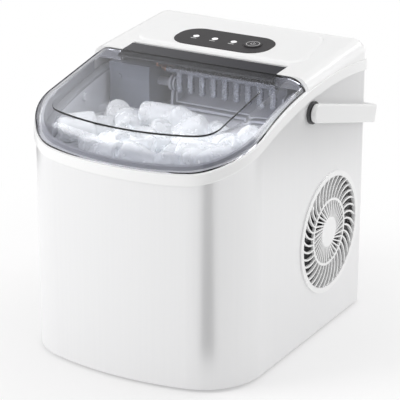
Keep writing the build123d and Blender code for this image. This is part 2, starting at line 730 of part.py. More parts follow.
def make_top():
    """Trim ring, bezel, rear housing, controls and the hinge pins."""
    trim = (prism(plan(TRIM_PROUD), SEAM_FRONT_Z / 2, FAR) & below_seam(TRIM_H)) - below_seam(0)
    inner_lines = [e for e in trim.edges().filter_by(Axis.X) if e.center().Y < REAR_Y]
    outline = [e for e in trim.edges() if e not in inner_lines + trim.edges().filter_by(Axis.Z)]
    put_out("top_trim", fillet(outline, TRIM_ROUND) - prism(plan(-TRIM_IN), LOW, FAR))

    liner_in = LINER_IN + LINER_T
    flange = prism(plan(-TRIM_IN, SHELF_REAR_Y, 0), SEAM_FRONT_Z / 2, FAR)
    flange -= prism(plan(-liner_in, SHELF_REAR_Y - LINER_T, SHELF_R - LINER_T), LOW, FAR)
    flange = (flange & below_seam(0)) - below_seam(-BEZEL_T)
    lip = prism(plan(-TRIM_IN, LIP_END_Y, 0), SEAM_FRONT_Z / 2, FAR)
    lip -= prism(plan(-TRIM_IN - LIP_T, LIP_END_Y + LIP_H, 0), LOW, FAR)
    lip = (lip & below_seam(LIP_H) & lid_volume(LID_T + LIP_CLEAR)) - below_seam(-BEZEL_T / 2)
    put_out("bin_bezel", flange + lip - hose_notch())

    def form(inset, front_gap):
        """The housing's rounded block moved in by inset, with room left for the lid and its tab."""
        grow = HOUSING_GROW - inset
        body = prism(plan(grow, REAR_Y + grow, HOUSING_REAR_R - inset), LOW, FAR)
        body &= below_slope(HOUSING_FRONT_Z - inset, HOUSING_SLOPE, LID_REAR_Y)
        body = fillet(body.faces().sort_by(Axis.Z)[-1].edges(), HOUSING_ROUND - inset)
        notch_x = TAB_HALF + front_gap
        body -= box(-FAR, FAR, -FAR, LID_REAR_Y + front_gap, LOW, FAR)
        return body - box(-notch_x, notch_x, -FAR, HINGE_Y + BARREL_R + front_gap, LOW, FAR)

    spread = DECK_ROOT * math.tan(math.radians(DECK_DRAFT))
    deck_w, deck_l = 2 * (DECK_HALF + spread), DECK_REAR_Y - DECK_FRONT_Y + 2 * spread
    deck_y = (DECK_FRONT_Y + DECK_REAR_Y) / 2 - FASCIA_Y
    deck_h = DECK_RAISE + DECK_ROOT
    plateau = Trapezoid(deck_w, deck_l, DECK_SIDE_DEG)
    deck = extrude(fillet(plateau.vertices(), DECK_R + spread), amount=deck_h, taper=DECK_DRAFT)
    deck = fillet(deck.faces().sort_by(Axis.Z)[-1].edges(), DECK_SOFT)
    deck = Pos(0, deck_y, -deck_h) * deck
    housing = (form(0, NOTCH_GAP) + on_deck(deck)) - form(HOUSING_T, NOTCH_GAP + HOUSING_T)
    notch_x = TAB_HALF + NOTCH_GAP
    pins = []
    for side in (1, -1):
        boss = box(side * (notch_x + HOUSING_T / 2), side * (notch_x + PIN_BOSS), HINGE_Y - BARREL_R,
                   HINGE_Y + BARREL_R, HINGE_Z - BARREL_R, HOUSING_FRONT_Z)
        housing += boss
        housing -= rod_x(side * notch_x, side * (notch_x + PIN_OUT), HINGE_Y, HINGE_Z, PIN_R + PRESS_FIT)
        pins.append(rod_x(side * (TAB_HALF - PIN_IN), side * (notch_x + PIN_OUT), HINGE_Y, HINGE_Z, PIN_R))
    put_out("lid_hinge_pins", *pins)
    housing -= below_seam(TRIM_H)

    def oval(grow):
        """The fascia's rounded plate, or its pocket when grown."""
        face = RectangleRounded(FASCIA_W + 2 * grow, FASCIA_D + 2 * grow, FASCIA_R + grow)
        return prism(Pos(FASCIA_X, 0) * face, -FASCIA_SET, FASCIA_TOP)

    fascia = oval(0)
    fascia = fillet(fascia.faces().sort_by(Axis.Z)[-1].edges(), FASCIA_ROUND)
    housing -= on_deck(oval(FIT))
    holes = [rod_z(2 * BUTTON_FLANGE_Z, FASCIA_TOP, BUTTON_X, 0, BUTTON_R + FIT)]
    holes += [rod_z(2 * BUTTON_FLANGE_Z, FASCIA_TOP, x, 0, LENS_R + TOUCH_FIT) for x in CONTROL_XS]
    for hole in holes:
        housing -= on_deck(hole)
        fascia -= hole
    post_x, post_y = CONTROL_BOARD_W / 2 - POST_INSET, CONTROL_BOARD_D / 2 - POST_INSET
    for i in (1, -1):
        for j in (1, -1):
            housing += on_deck(rod_z(BOARD_TOP, -DECK_T / 2, FASCIA_X + i * post_x, j * post_y,
                                      POST_R))
    put_out("top_housing", housing)
    put_out("control_fascia", on_deck(fascia))
    lenses = [rod_z(-DECK_T, FASCIA_TOP + LENS_PROUD, x, 0, LENS_R) for x in CONTROL_XS]
    put_out("indicator_lenses", *[on_deck(lens) for lens in lenses])

    flange_top = BUTTON_FLANGE_Z + BUTTON_FLANGE_T
    cap = rod_z(BUTTON_FLANGE_Z, FASCIA_TOP + BUTTON_PROUD, BUTTON_X, 0, BUTTON_R)
    cap = fillet(cap.edges().sort_by(Axis.Z)[-1], BUTTON_ROUND)
    cap += rod_z(BUTTON_FLANGE_Z, flange_top, BUTTON_X, 0, BUTTON_R + BUTTON_FLANGE)
    cap += rod_z(BUTTON_FLANGE_Z - BUTTON_STEM_L, BUTTON_FLANGE_Z, BUTTON_X, 0, BUTTON_STEM_R)
    put_out("power_button", on_deck(cap))

    half_w, half_d, half_s = CONTROL_BOARD_W / 2, CONTROL_BOARD_D / 2, SWITCH_SIDE / 2
    board = box(FASCIA_X - half_w, FASCIA_X + half_w, -half_d, half_d, BOARD_TOP - BOARD_T, BOARD_TOP)
    board += box(BUTTON_X - half_s, BUTTON_X + half_s, -half_s, half_s, BOARD_TOP, SWITCH_TOP)
    put_out("control_board", on_deck(board))


def make_lid():
    """The clear lid and the dark strip that carries its hinge barrel."""
    shell = lid_volume(0) - lid_volume(LID_T)
    shell -= below_seam(TRIM_H + LID_GAP)
    tab_cut = TAB_HALF + NOTCH_GAP
    middle = below_slope(LID_REAR_Z - LID_FALL, LID_SLOPE, LID_REAR_Y)
    shell -= middle & box(-tab_cut, tab_cut, LID_REAR_Y - LID_T * 2, FAR, LOW, FAR)
    window = prism(plan(-WINDOW_IN, WINDOW_REAR_Y, 0), SEAM_FRONT_Z / 2, FAR)
    window &= box(-WINDOW_HALF, WINDOW_HALF, -FAR, FAR, LOW, FAR)
    upright = window.edges().filter_by(Axis.Z)
    corners = upright.group_by(Axis.X)[0] + upright.group_by(Axis.X)[-1]
    window = fillet(corners, WINDOW_R)
    window &= below_slope(LID_REAR_Z + WINDOW_PROUD, LID_SLOPE, LID_REAR_Y)
    window -= lid_volume(LID_T / 2)
    window_top = window.faces().sort_by(SortBy.AREA)[-2:].sort_by(Axis.Z)[-1]
    put_out("lid_shell", shell + fillet(window_top.edges(), WINDOW_ROUND))

    barrel_top = HINGE_Z + BARREL_R
    under, front = LID_REAR_Z - LID_FALL, LID_REAR_Y - TONGUE
    strip = side_polygon([
        (LID_REAR_Y, LID_REAR_Z), (HINGE_Y, barrel_top), (HINGE_Y, barrel_top - LID_T),
        (LID_REAR_Y, under - TONGUE_T), (front, lid_z(front) - LID_FALL - TONGUE_T),
        (front, lid_z(front) - LID_FALL), (LID_REAR_Y, under),
    ], TAB_HALF)
    strip += rod_x(-TAB_HALF, TAB_HALF, HINGE_Y, HINGE_Z, BARREL_R)
    for side in (1, -1):
        strip -= rod_x(side * (TAB_HALF - PIN_IN - FIT), side * FAR, HINGE_Y, HINGE_Z, PIN_R + TOUCH_FIT)
    put_out("lid_hinge_strip", strip)


def make_handle():
    """The folded bail handle and the two pivots on the cabinet's sides."""
    outer = Pos(0, HANDLE_REACH / 2) * Rectangle(2 * HANDLE_OUTER_X, HANDLE_REACH)
    outer = fillet(outer.vertices().group_by(Axis.Y)[-1], HANDLE_CORNER_R)
    reach_in = HANDLE_REACH - HANDLE_T
    inner = Pos(0, reach_in / 2) * Rectangle(2 * HANDLE_INNER_X, reach_in)
    inner = fillet(inner.vertices().group_by(Axis.Y)[-1], HANDLE_CORNER_R - HANDLE_T / 2)
    half = HANDLE_W / 2
    strap = prism((outer - inner).face(), -half, half)
    bail = strap + both_sides(rod_x(HANDLE_INNER_X, HANDLE_OUTER_X, 0, 0, half))
    across = bail.edges().filter_by(Axis.X).sort_by(Axis.Y)[:4] + bail.edges().filter_by(Axis.Z)
    bail = fillet([e for e in bail.edges() if e not in across], HANDLE_ROUND)
    hole = HANDLE_INNER_X + PIVOT_L - HANDLE_SLACK + FIT
    for side in (1, -1):
        bail -= rod_x(side * HANDLE_INNER_X, side * hole, 0, 0, PIVOT_R + TOUCH_FIT)
    put_out("handle_bail", Pos(0, HANDLE_Y, HANDLE_Z) * Rot(-HANDLE_DROOP_DEG, 0, 0) * bail)

    flange_x = HALF_W + PIVOT_FLANGE_T
    pivot = rod_x(HALF_W, flange_x, HANDLE_Y, HANDLE_Z, PIVOT_FLANGE_R)
    pivot += rod_x(flange_x, flange_x + PIVOT_L, HANDLE_Y, HANDLE_Z, PIVOT_R)
    pivot += rod_x(HALF_W - SKIN, HALF_W, HANDLE_Y, HANDLE_Z, PIVOT_SHANK_R)
    pivot += rod_x(HALF_W - SKIN - PIVOT_NUT_T, HALF_W - SKIN, HANDLE_Y, HANDLE_Z, PIVOT_NUT_R)
    put_out("handle_pivots", *both_sides(pivot))


def make_bin():
    """Liner with tank and bin, foam, basket, sensors and float."""
    def room(inset):
        """The liner's three stacked rooms moved in by inset."""
        shelf = prism(plan(-LINER_IN - inset, SHELF_REAR_Y - inset, SHELF_R - inset), SHELF_Z + inset, FAR)
        bin_room = prism(plan(-LINER_IN - inset, BIN_REAR_Y - inset, BIN_R - inset), BIN_Z + inset, FAR)
        tank = prism(plan(-TANK_IN - inset, TANK_REAR_Y - inset, BIN_R - inset), TANK_Z + inset, FAR)
        return shelf + bin_room + tank

    liner = (room(0) - room(LINER_T)) & below_seam(-BEZEL_T)
    liner -= rod_z(LOW, TANK_Z + LINER_T, DRAIN_X, DRAIN_Y, DRAIN_BORE)
    liner += rod_y(TANK_REAR_Y - LINER_T / 2, TANK_REAR_Y + SPIGOT_L, PUMP_X, INTAKE_Z, SPIGOT_R)
    liner -= rod_y(TANK_REAR_Y - LINER_T * 2, FAR, PUMP_X, INTAKE_Z, SPIGOT_BORE)
    put_out("inner_liner", liner - hose_notch())

    foam = prism(plan(-FOAM_IN, FOAM_REAR_Y, 0), FOAM_Z, BIN_Z - FOAM_GAP)
    foam -= prism(plan(-TANK_IN + FOAM_GAP, FAR, 0), LOW, FAR)
    put_out("tank_foam", foam)

    floor, top = BASKET_LOW_Z, BASKET_TOP_Z

    def cup(inset, z0, z1):
        """The basket's outline moved in by inset, from z0 to z1."""
        return prism(plan(-BASKET_IN - inset, BASKET_REAR_Y - inset, BASKET_R - inset), z0, z1)

    basket = cup(0, floor, top) + cup(-BASKET_RIM, top - BASKET_RIM_T, top)
    basket -= cup(BASKET_T, floor + BASKET_T, FAR)
    mid_y = (FRONT_Y + BASKET_IN + BASKET_REAR_Y) / 2
    slots = []
    for i in range(SLOT_COLUMNS):
        for j in range(SLOT_ROWS):
            x = (i - (SLOT_COLUMNS - 1) / 2) * SLOT_PITCH_X
            y = mid_y + (j - (SLOT_ROWS - 1) / 2) * SLOT_PITCH_Y
            slots.append(block(x, y, floor, SLOT_W, SLOT_L, 2 * BASKET_T + FIT))
    basket -= slots
    grip_z = top - GRIP_DROP - GRIP_H / 2
    grip = extrude(Plane.YZ * Pos(mid_y, grip_z) * SlotOverall(GRIP_L, GRIP_H), amount=FAR, both=True)
    put_out("ice_basket", basket - grip)

    sensor = rod_x(SHELF_IN_X - SENSOR_H, SHELF_IN_X, SENSOR_Y, SENSOR_Z, SENSOR_R)
    put_out("bin_sensors", *both_sides(sensor))

    foot = TANK_Z + LINER_T
    low = foot + FLOAT_BASE
    high = low + FLOAT_H + FLOAT_TRAVEL + FIT * 2
    stem = rod_z(foot, foot + STEM_L, FLOAT_X, FLOAT_Y, STEM_R)
    stem += rod_z(foot, foot + STEM_COLLAR_T, FLOAT_X, FLOAT_Y, STEM_FOOT_R)
    stem += rod_z(low - FIT - STEM_COLLAR_T, low - FIT, FLOAT_X, FLOAT_Y, STEM_COLLAR_R)
    stem += rod_z(high, high + STEM_COLLAR_T, FLOAT_X, FLOAT_Y, STEM_COLLAR_R)
    put_out("float_stem", stem)
    ring = rod_z(low, low + FLOAT_H, FLOAT_X, FLOAT_Y, FLOAT_R)
    put_out("tank_float", ring - rod_z(LOW, FAR, FLOAT_X, FLOAT_Y, STEM_R + TOUCH_FIT))


def make_ice_works():
    """Evaporator with its fingers, tilting tray, shovel and tray drive."""
    last_x = FINGER_FIRST_X + (FINGER_COUNT - 1) * FINGER_PITCH
    evaporator = rod_x(TRAY_LEFT - EVAP_OVERHANG, last_x + FINGER_R + EVAP_CAP, EVAP_Y, EVAP_Z, EVAP_R)
    for i in range(FINGER_COUNT):
        x = FINGER_FIRST_X + i * FINGER_PITCH
        evaporator += rod_z(FINGER_TIP_Z + FINGER_R, EVAP_Z, x, EVAP_Y, FINGER_R)
        evaporator += Pos(x, EVAP_Y, FINGER_TIP_Z + FINGER_R) * Sphere(FINGER_R)
    put_out("evaporator", evaporator)

    drum = rod_x(TRAY_LEFT, TRAY_RIGHT, TRAY_Y, TRAY_Z, TRAY_R)
    drum -= rod_x(TRAY_LEFT + TRAY_T, TRAY_RIGHT - TRAY_T, TRAY_Y, TRAY_Z, TRAY_R - TRAY_T)
    drum -= box(-FAR, FAR, -FAR, TRAY_Y, LOW, FAR)
    for side in ((TRAY_LEFT, TRAY_LEFT + TRAY_T), (TRAY_RIGHT - TRAY_T, TRAY_RIGHT)):
        drum += rod_x(*side, TRAY_Y, TRAY_Z, TRAY_HUB_R)
    socket_x = COVER_RIGHT - COVER_T - MOTOR_SOCKET
    bearing_x = SHELF_IN_X - BEARING_T
    drum += rod_x(socket_x + FIT, TRAY_LEFT, TRAY_Y, TRAY_Z, TRAY_SHAFT_R)
    drum += rod_x(TRAY_RIGHT, SHELF_IN_X - FIT, TRAY_Y, TRAY_Z, TRAY_SHAFT_R)
    put_out("water_tray", drum)
    shaft_hole = rod_x(-FAR, FAR, TRAY_Y, TRAY_Z, TRAY_SHAFT_R + TOUCH_FIT)

    left_x = TRAY_LEFT - SHOVEL_GAP - SHOVEL_ARM_T
    right_x = TRAY_RIGHT + SHOVEL_GAP + SHOVEL_ARM_T
    outer_r = SHOVEL_R + SHOVEL_T

    def spoke(degrees, r):
        """A point at radius r from the tray's axis."""
        angle = math.radians(degrees)
        return (0, TRAY_Y + r * math.cos(angle), TRAY_Z + r * math.sin(angle))

    def sector(r):
        """The slice that the shovel's blade takes up."""
        middle_deg = (SHOVEL_FROM_DEG + SHOVEL_TO_DEG) / 2
        centre = spoke(0, 0)
        return Face(Wire([
            Line(centre, spoke(SHOVEL_FROM_DEG, r)),
            ThreePointArc(spoke(SHOVEL_FROM_DEG, r), spoke(middle_deg, r), spoke(SHOVEL_TO_DEG, r)),
            Line(spoke(SHOVEL_TO_DEG, r), centre)]))

    wedge = Pos(left_x, 0, 0) * extrude(sector(outer_r), amount=right_x - left_x, dir=(1, 0, 0))
    shovel = wedge - rod_x(left_x + SHOVEL_ARM_T, right_x - SHOVEL_ARM_T, TRAY_Y, TRAY_Z, SHOVEL_R)
    for x in (left_x, right_x - SHOVEL_ARM_T):
        shovel += rod_x(x, x + SHOVEL_ARM_T, TRAY_Y, TRAY_Z, SHOVEL_HUB_R)
    put_out("ice_shovel", shovel - shaft_hole)

    half = BEARING_HALF
    block = box(bearing_x, SHELF_IN_X, TRAY_Y - half, TRAY_Y + half, TRAY_Z - half, TRAY_Z + half)
    put_out("tray_bearing", block - shaft_hole)

    floor, wall = SHELF_Z + LINER_T, SHELF_REAR_Y - LINER_T
    cover = box(COVER_LEFT, COVER_RIGHT, COVER_FRONT_Y, wall, floor, COVER_TOP_Z)
    cover -= box(COVER_LEFT + COVER_T, COVER_RIGHT - COVER_T, COVER_FRONT_Y + COVER_T, FAR, LOW,
                 COVER_TOP_Z - COVER_T)
    screw_x, screw_z = COVER_LEFT + (COVER_RIGHT - COVER_LEFT) / 4, COVER_TOP_Z - MOTOR_R
    cover += rod_y(COVER_FRONT_Y - COVER_SCREW_H, COVER_FRONT_Y, screw_x, screw_z, COVER_SCREW_R)
    put_out("drive_cover", cover - shaft_hole)

    motor_right = COVER_RIGHT - COVER_T
    motor = rod_x(motor_right - MOTOR_L, motor_right, TRAY_Y, TRAY_Z, MOTOR_R)
    motor -= rod_x(socket_x, motor_right, TRAY_Y, TRAY_Z, TRAY_SHAFT_R + TOUCH_FIT)
    put_out("tray_motor", motor)


def make_cooling():
    """Grille, fan, condenser and compressor."""
    def ring_point(r, angle):
        """A point of the grille in its own plane."""
        return (r * math.cos(angle), r * math.sin(angle))

    def lean(r):
        """How far a rib has swung from its radius: out to the middle ring and back to the edge."""
        span = GRILLE_RING_R - GRILLE_DISC_R if r < GRILLE_RING_R else GRILLE_EDGE_R - GRILLE_RING_R
        return math.radians(GRILLE_SWEEP_DEG) * math.cos(math.pi / 2 * (r - GRILLE_RING_R) / span)

    def slot(index, r0, r1, rib0, rib1):
        """One air slot between two neighbouring S-shaped ribs."""
        step = 2 * math.pi / GRILLE_RIBS
        mid = (r0 + r1) / 2
        sides = []
        for turn, sign in ((index, 1), (index + 1, -1)):
            ribs = ((r0, rib0), (mid, (rib0 + rib1) / 2), (r1, rib1))
            sides.append([ring_point(r, turn * step + lean(r) + sign * rib / 2 / r) for r, rib in ribs])
        near, far = sides
        middle = (index + 0.5) * step
        return Wire([
            ThreePointArc(*near),
            ThreePointArc(near[2], ring_point(r1, middle + lean(r1)), far[2]),
            ThreePointArc(far[2], far[1], far[0]),
            ThreePointArc(far[0], ring_point(r0, middle + lean(r0)), near[0])])

    ring_half = GRILLE_RING_W / 2
    bands = ((GRILLE_DISC_R, GRILLE_RING_R - ring_half, GRILLE_RIB_IN, GRILLE_RIB_IN),
             (GRILLE_RING_R + ring_half, GRILLE_EDGE_R, GRILLE_RIB_IN, GRILLE_RIB_OUT))
    slots = [slot(i, *band) for band in bands for i in range(GRILLE_RIBS)]
    place = Pos(HALF_W, GRILLE_Y, GRILLE_Z)
    plate_face = Face(Wire(CenterArc((0, 0), GRILLE_R, 0, 360)), slots)
    plate = extrude(Plane.YZ * plate_face, amount=-GRILLE_T, dir=(1, 0, 0))
    border = rod_x(0, GRILLE_FLANGE_T, 0, 0, GRILLE_R + GRILLE_FLANGE_W)
    border -= rod_x(0, GRILLE_FLANGE_T, 0, 0, GRILLE_EDGE_R)
    put_out("side_grille", place * (plate + border))

    rotor = rod_x(FAN_BACK_X, FAN_TIP_X, GRILLE_Y, GRILLE_Z, FAN_HUB_R)
    blade = Pos(0, 0, FAN_R / 2) * Rot(0, 0, FAN_PITCH_DEG) * Box(FAN_BLADE_T, FAN_CHORD, FAN_R)
    blade &= Rot(0, 90, 0) * Cylinder(FAN_R, FAN_HUB_L)
    hub_middle = Pos((FAN_BACK_X + FAN_TIP_X) / 2, GRILLE_Y, GRILLE_Z)
    for i in range(FAN_BLADES):
        rotor += hub_middle * Rot(360 / FAN_BLADES * i, 0, 0) * blade
    shaft_end = FAN_MOTOR_X - FAN_MOTOR_L / 2
    rotor += rod_x(shaft_end, FAN_BACK_X, GRILLE_Y, GRILLE_Z, FAN_SHAFT_R)
    put_out("fan_rotor", rotor)

    motor = rod_x(FAN_MOTOR_X - FAN_MOTOR_L, FAN_MOTOR_X, GRILLE_Y, GRILLE_Z, FAN_MOTOR_R)
    put_out("fan_motor", motor - rod_x(shaft_end - FIT, FAR, GRILLE_Y, GRILLE_Z, FAN_SHAFT_R + TOUCH_FIT))

    half = FAN_FRAME_HALF
    middle = (FAN_MOTOR_X + FRAME_X) / 2, GRILLE_Y, GRILLE_Z
    frame = block(*middle, FAN_FRAME_T, 2 * half, 2 * half)
    frame -= rod_x(0, FAR, GRILLE_Y, GRILLE_Z, FAN_R + FAN_RING_GAP)
    frame += block(*middle, FAN_FRAME_T, 2 * half, FAN_ARM_W)
    frame += block(*middle, FAN_FRAME_T, FAN_ARM_W, 2 * half)
    frame += rod_x(FAN_MOTOR_X, FRAME_X, GRILLE_Y, GRILLE_Z, FAN_MOTOR_R)
    for side in (1, -1):
        y = GRILLE_Y + side * (half - FAN_LEG_W / 2)
        frame += box(FAN_MOTOR_X, FRAME_X, y - FAN_LEG_W / 2, y + FAN_LEG_W / 2, PAN_TOP, GRILLE_Z - half)
    put_out("fan_frame", frame - rod_x(0, FAR, GRILLE_Y, GRILLE_Z, FAN_SHAFT_R + FIT))

    near, far = GRILLE_Y - FIN_HALF_L, GRILLE_Y + FIN_HALF_L
    bend = COIL_PITCH / 2
    path = [Line((COND_X, COIL_END_Y, COIL_LOW_Z), (COND_X, far, COIL_LOW_Z))]
    for i in range(COIL_PASSES - 1):
        z = COIL_LOW_Z + i * COIL_PITCH
        y, side = (far, 1) if i % 2 == 0 else (near, -1)
        crown = (COND_X, y + side * bend, z + bend)
        path.append(ThreePointArc((COND_X, y, z), crown, (COND_X, y, z + COIL_PITCH)))
        stop = near if i % 2 == 0 else far
        if i == COIL_PASSES - 2:
            stop = COIL_END_Y
        path.append(Line((COND_X, y, z + COIL_PITCH), (COND_X, stop, z + COIL_PITCH)))
    coil_path = Wire(path)
    coil = sweep(Plane((COND_X, COIL_END_Y, COIL_LOW_Z), z_dir=(0, 1, 0)) * Circle(COIL_R), path=coil_path)
    put_out("condenser_coil", coil)
    fins = []
    for i in range(FIN_COUNT):
        end = i in (0, FIN_COUNT - 1)
        thick = FIN_END_T if end else FIN_T
        y = near + (far - near - FIN_END_T) * i / (FIN_COUNT - 1) + FIN_END_T / 2
        low, high = PAN_TOP if end else COIL_LOW_Z - FIN_MARGIN, COIL_TOP_Z + FIN_MARGIN
        fin = block(COND_X, y, (low + high) / 2, FIN_DEPTH, thick, high - low)
        for k in range(COIL_PASSES):
            z = COIL_LOW_Z + k * COIL_PITCH
            fin -= rod_y(y - FIN_END_T, y + FIN_END_T, COND_X, z, COIL_R + TOUCH_FIT)
        fins.append(fin)
    put_out("condenser_fins", *fins)

    can = rod_z(COMP_CAN_Z, COMP_TOP_Z, COMP_X, COMP_Y, COMP_R)
    can = fillet(can.edges().sort_by(Axis.Z)[-1], COMP_TOP_ROUND)
    can = fillet(can.edges().sort_by(Axis.Z)[0], COMP_LOW_ROUND)
    weld_z = (COMP_CAN_Z + COMP_TOP_Z) / 2
    can += rod_z(weld_z, weld_z + COMP_WELD_T, COMP_X, COMP_Y, COMP_WELD_R)
    half = COMP_PLATE_HALF
    can += box(COMP_X - half, COMP_X + half, COMP_Y - half, COMP_Y + half, COMP_PLATE_Z, COMP_CAN_Z)
    front = COMP_Y - COMP_R - TERMINAL_D / 2
    can += box(COMP_X - TERMINAL_W / 2, COMP_X + TERMINAL_W / 2, front, COMP_Y,
               weld_z - TERMINAL_H, weld_z - COMP_WELD_T)
    grommets, bolts = [], []
    for i in (1, -1):
        for j in (1, -1):
            x, y = COMP_X + i * COMP_BOLT, COMP_Y + j * COMP_BOLT
            hole = rod_z(LOW, COMP_CAN_Z + BOLT_HEAD_H, x, y, BOLT_R + TOUCH_FIT)
            can -= hole
            grommets.append(rod_z(PAN_TOP, COMP_PLATE_Z, x, y, GROMMET_R) - hole)
            bolts.append(rod_z(FOOT_H, COMP_CAN_Z, x, y, BOLT_R)
                         + rod_z(COMP_CAN_Z, COMP_CAN_Z + BOLT_HEAD_H, x, y, BOLT_HEAD_R))
    put_out("compressor", can)
    put_out("compressor_grommets", *grommets)
    put_out("compressor_bolts", *bolts)


def make_pipes():
    """Refrigerant lines and the drier between compressor, condenser and evaporator."""
    hot_x, cold_x = COMP_X + COMP_R / 3, COMP_X - COMP_R / 3
    line_z, cold_z, thin_z = COMP_TOP_Z + LINE_LIFT, COMP_TOP_Z + SUCTION_LIFT, COMP_TOP_Z + CAPILLARY_LIFT
    put_out("discharge_line", tube([
        (COND_X, COIL_END_Y, COIL_TOP_Z), (COND_X, LINE_Y, COIL_TOP_Z), (COND_X, LINE_Y, line_z),
        (hot_x, LINE_Y, line_z), (hot_x, COMP_Y, line_z), (hot_x, COMP_Y, COMP_TOP_Z)], LINE_R, LINE_BEND))

    liquid_x = COND_X - FIN_DEPTH / 2 - LINE_R - LINE_GAP
    neck_z = DRIER_Z - DRIER_NECK
    turn_z = neck_z - LINE_RUN
    put_out("liquid_line", tube([
        (COND_X, COIL_END_Y, COIL_LOW_Z), (COND_X, LINE_Y, COIL_LOW_Z), (liquid_x, LINE_Y, COIL_LOW_Z),
        (liquid_x, LINE_Y, turn_z), (liquid_x, DRIER_Y, turn_z), (DRIER_X, DRIER_Y, turn_z),
        (DRIER_X, DRIER_Y, neck_z)], LINE_R, LINE_BEND))
    drier_top = DRIER_Z + DRIER_L
    drier = rod_z(DRIER_Z, drier_top, DRIER_X, DRIER_Y, DRIER_R)
    drier += rod_z(neck_z, drier_top + DRIER_NECK, DRIER_X, DRIER_Y, DRIER_NECK_R)
    put_out("filter_drier", drier)

    start_x = TRAY_LEFT - EVAP_OVERHANG
    suction_x = start_x - LINE_RUN
    back_y = SHELF_REAR_Y + PIPE_BACK
    put_out("suction_line", tube([
        (start_x, EVAP_Y, EVAP_Z), (suction_x, EVAP_Y, EVAP_Z), (suction_x, back_y, EVAP_Z),
        (suction_x, back_y, cold_z), (cold_x, back_y, cold_z), (cold_x, COMP_Y, cold_z),
        (cold_x, COMP_Y, COMP_TOP_Z)], SUCTION_R, LINE_BEND))

    thin_x = (COVER_RIGHT + suction_x - SUCTION_R) / 2
    thin_y = back_y + SUCTION_R + CAPILLARY_R + LINE_GAP
    inlet_x = start_x + EVAP_R
    inlet_z = EVAP_Z + EVAP_R
    over_z = inlet_z + 2 * CAPILLARY_BEND
    put_out("capillary_line", tube([
        (inlet_x, EVAP_Y, inlet_z), (inlet_x, EVAP_Y, over_z), (thin_x, EVAP_Y, over_z),
        (thin_x, EVAP_Y, EVAP_Z), (thin_x, thin_y, EVAP_Z), (thin_x, thin_y, thin_z),
        (DRIER_X, thin_y, thin_z), (DRIER_X, DRIER_Y, thin_z),
        (DRIER_X, DRIER_Y, drier_top + DRIER_NECK)], CAPILLARY_R, CAPILLARY_BEND))


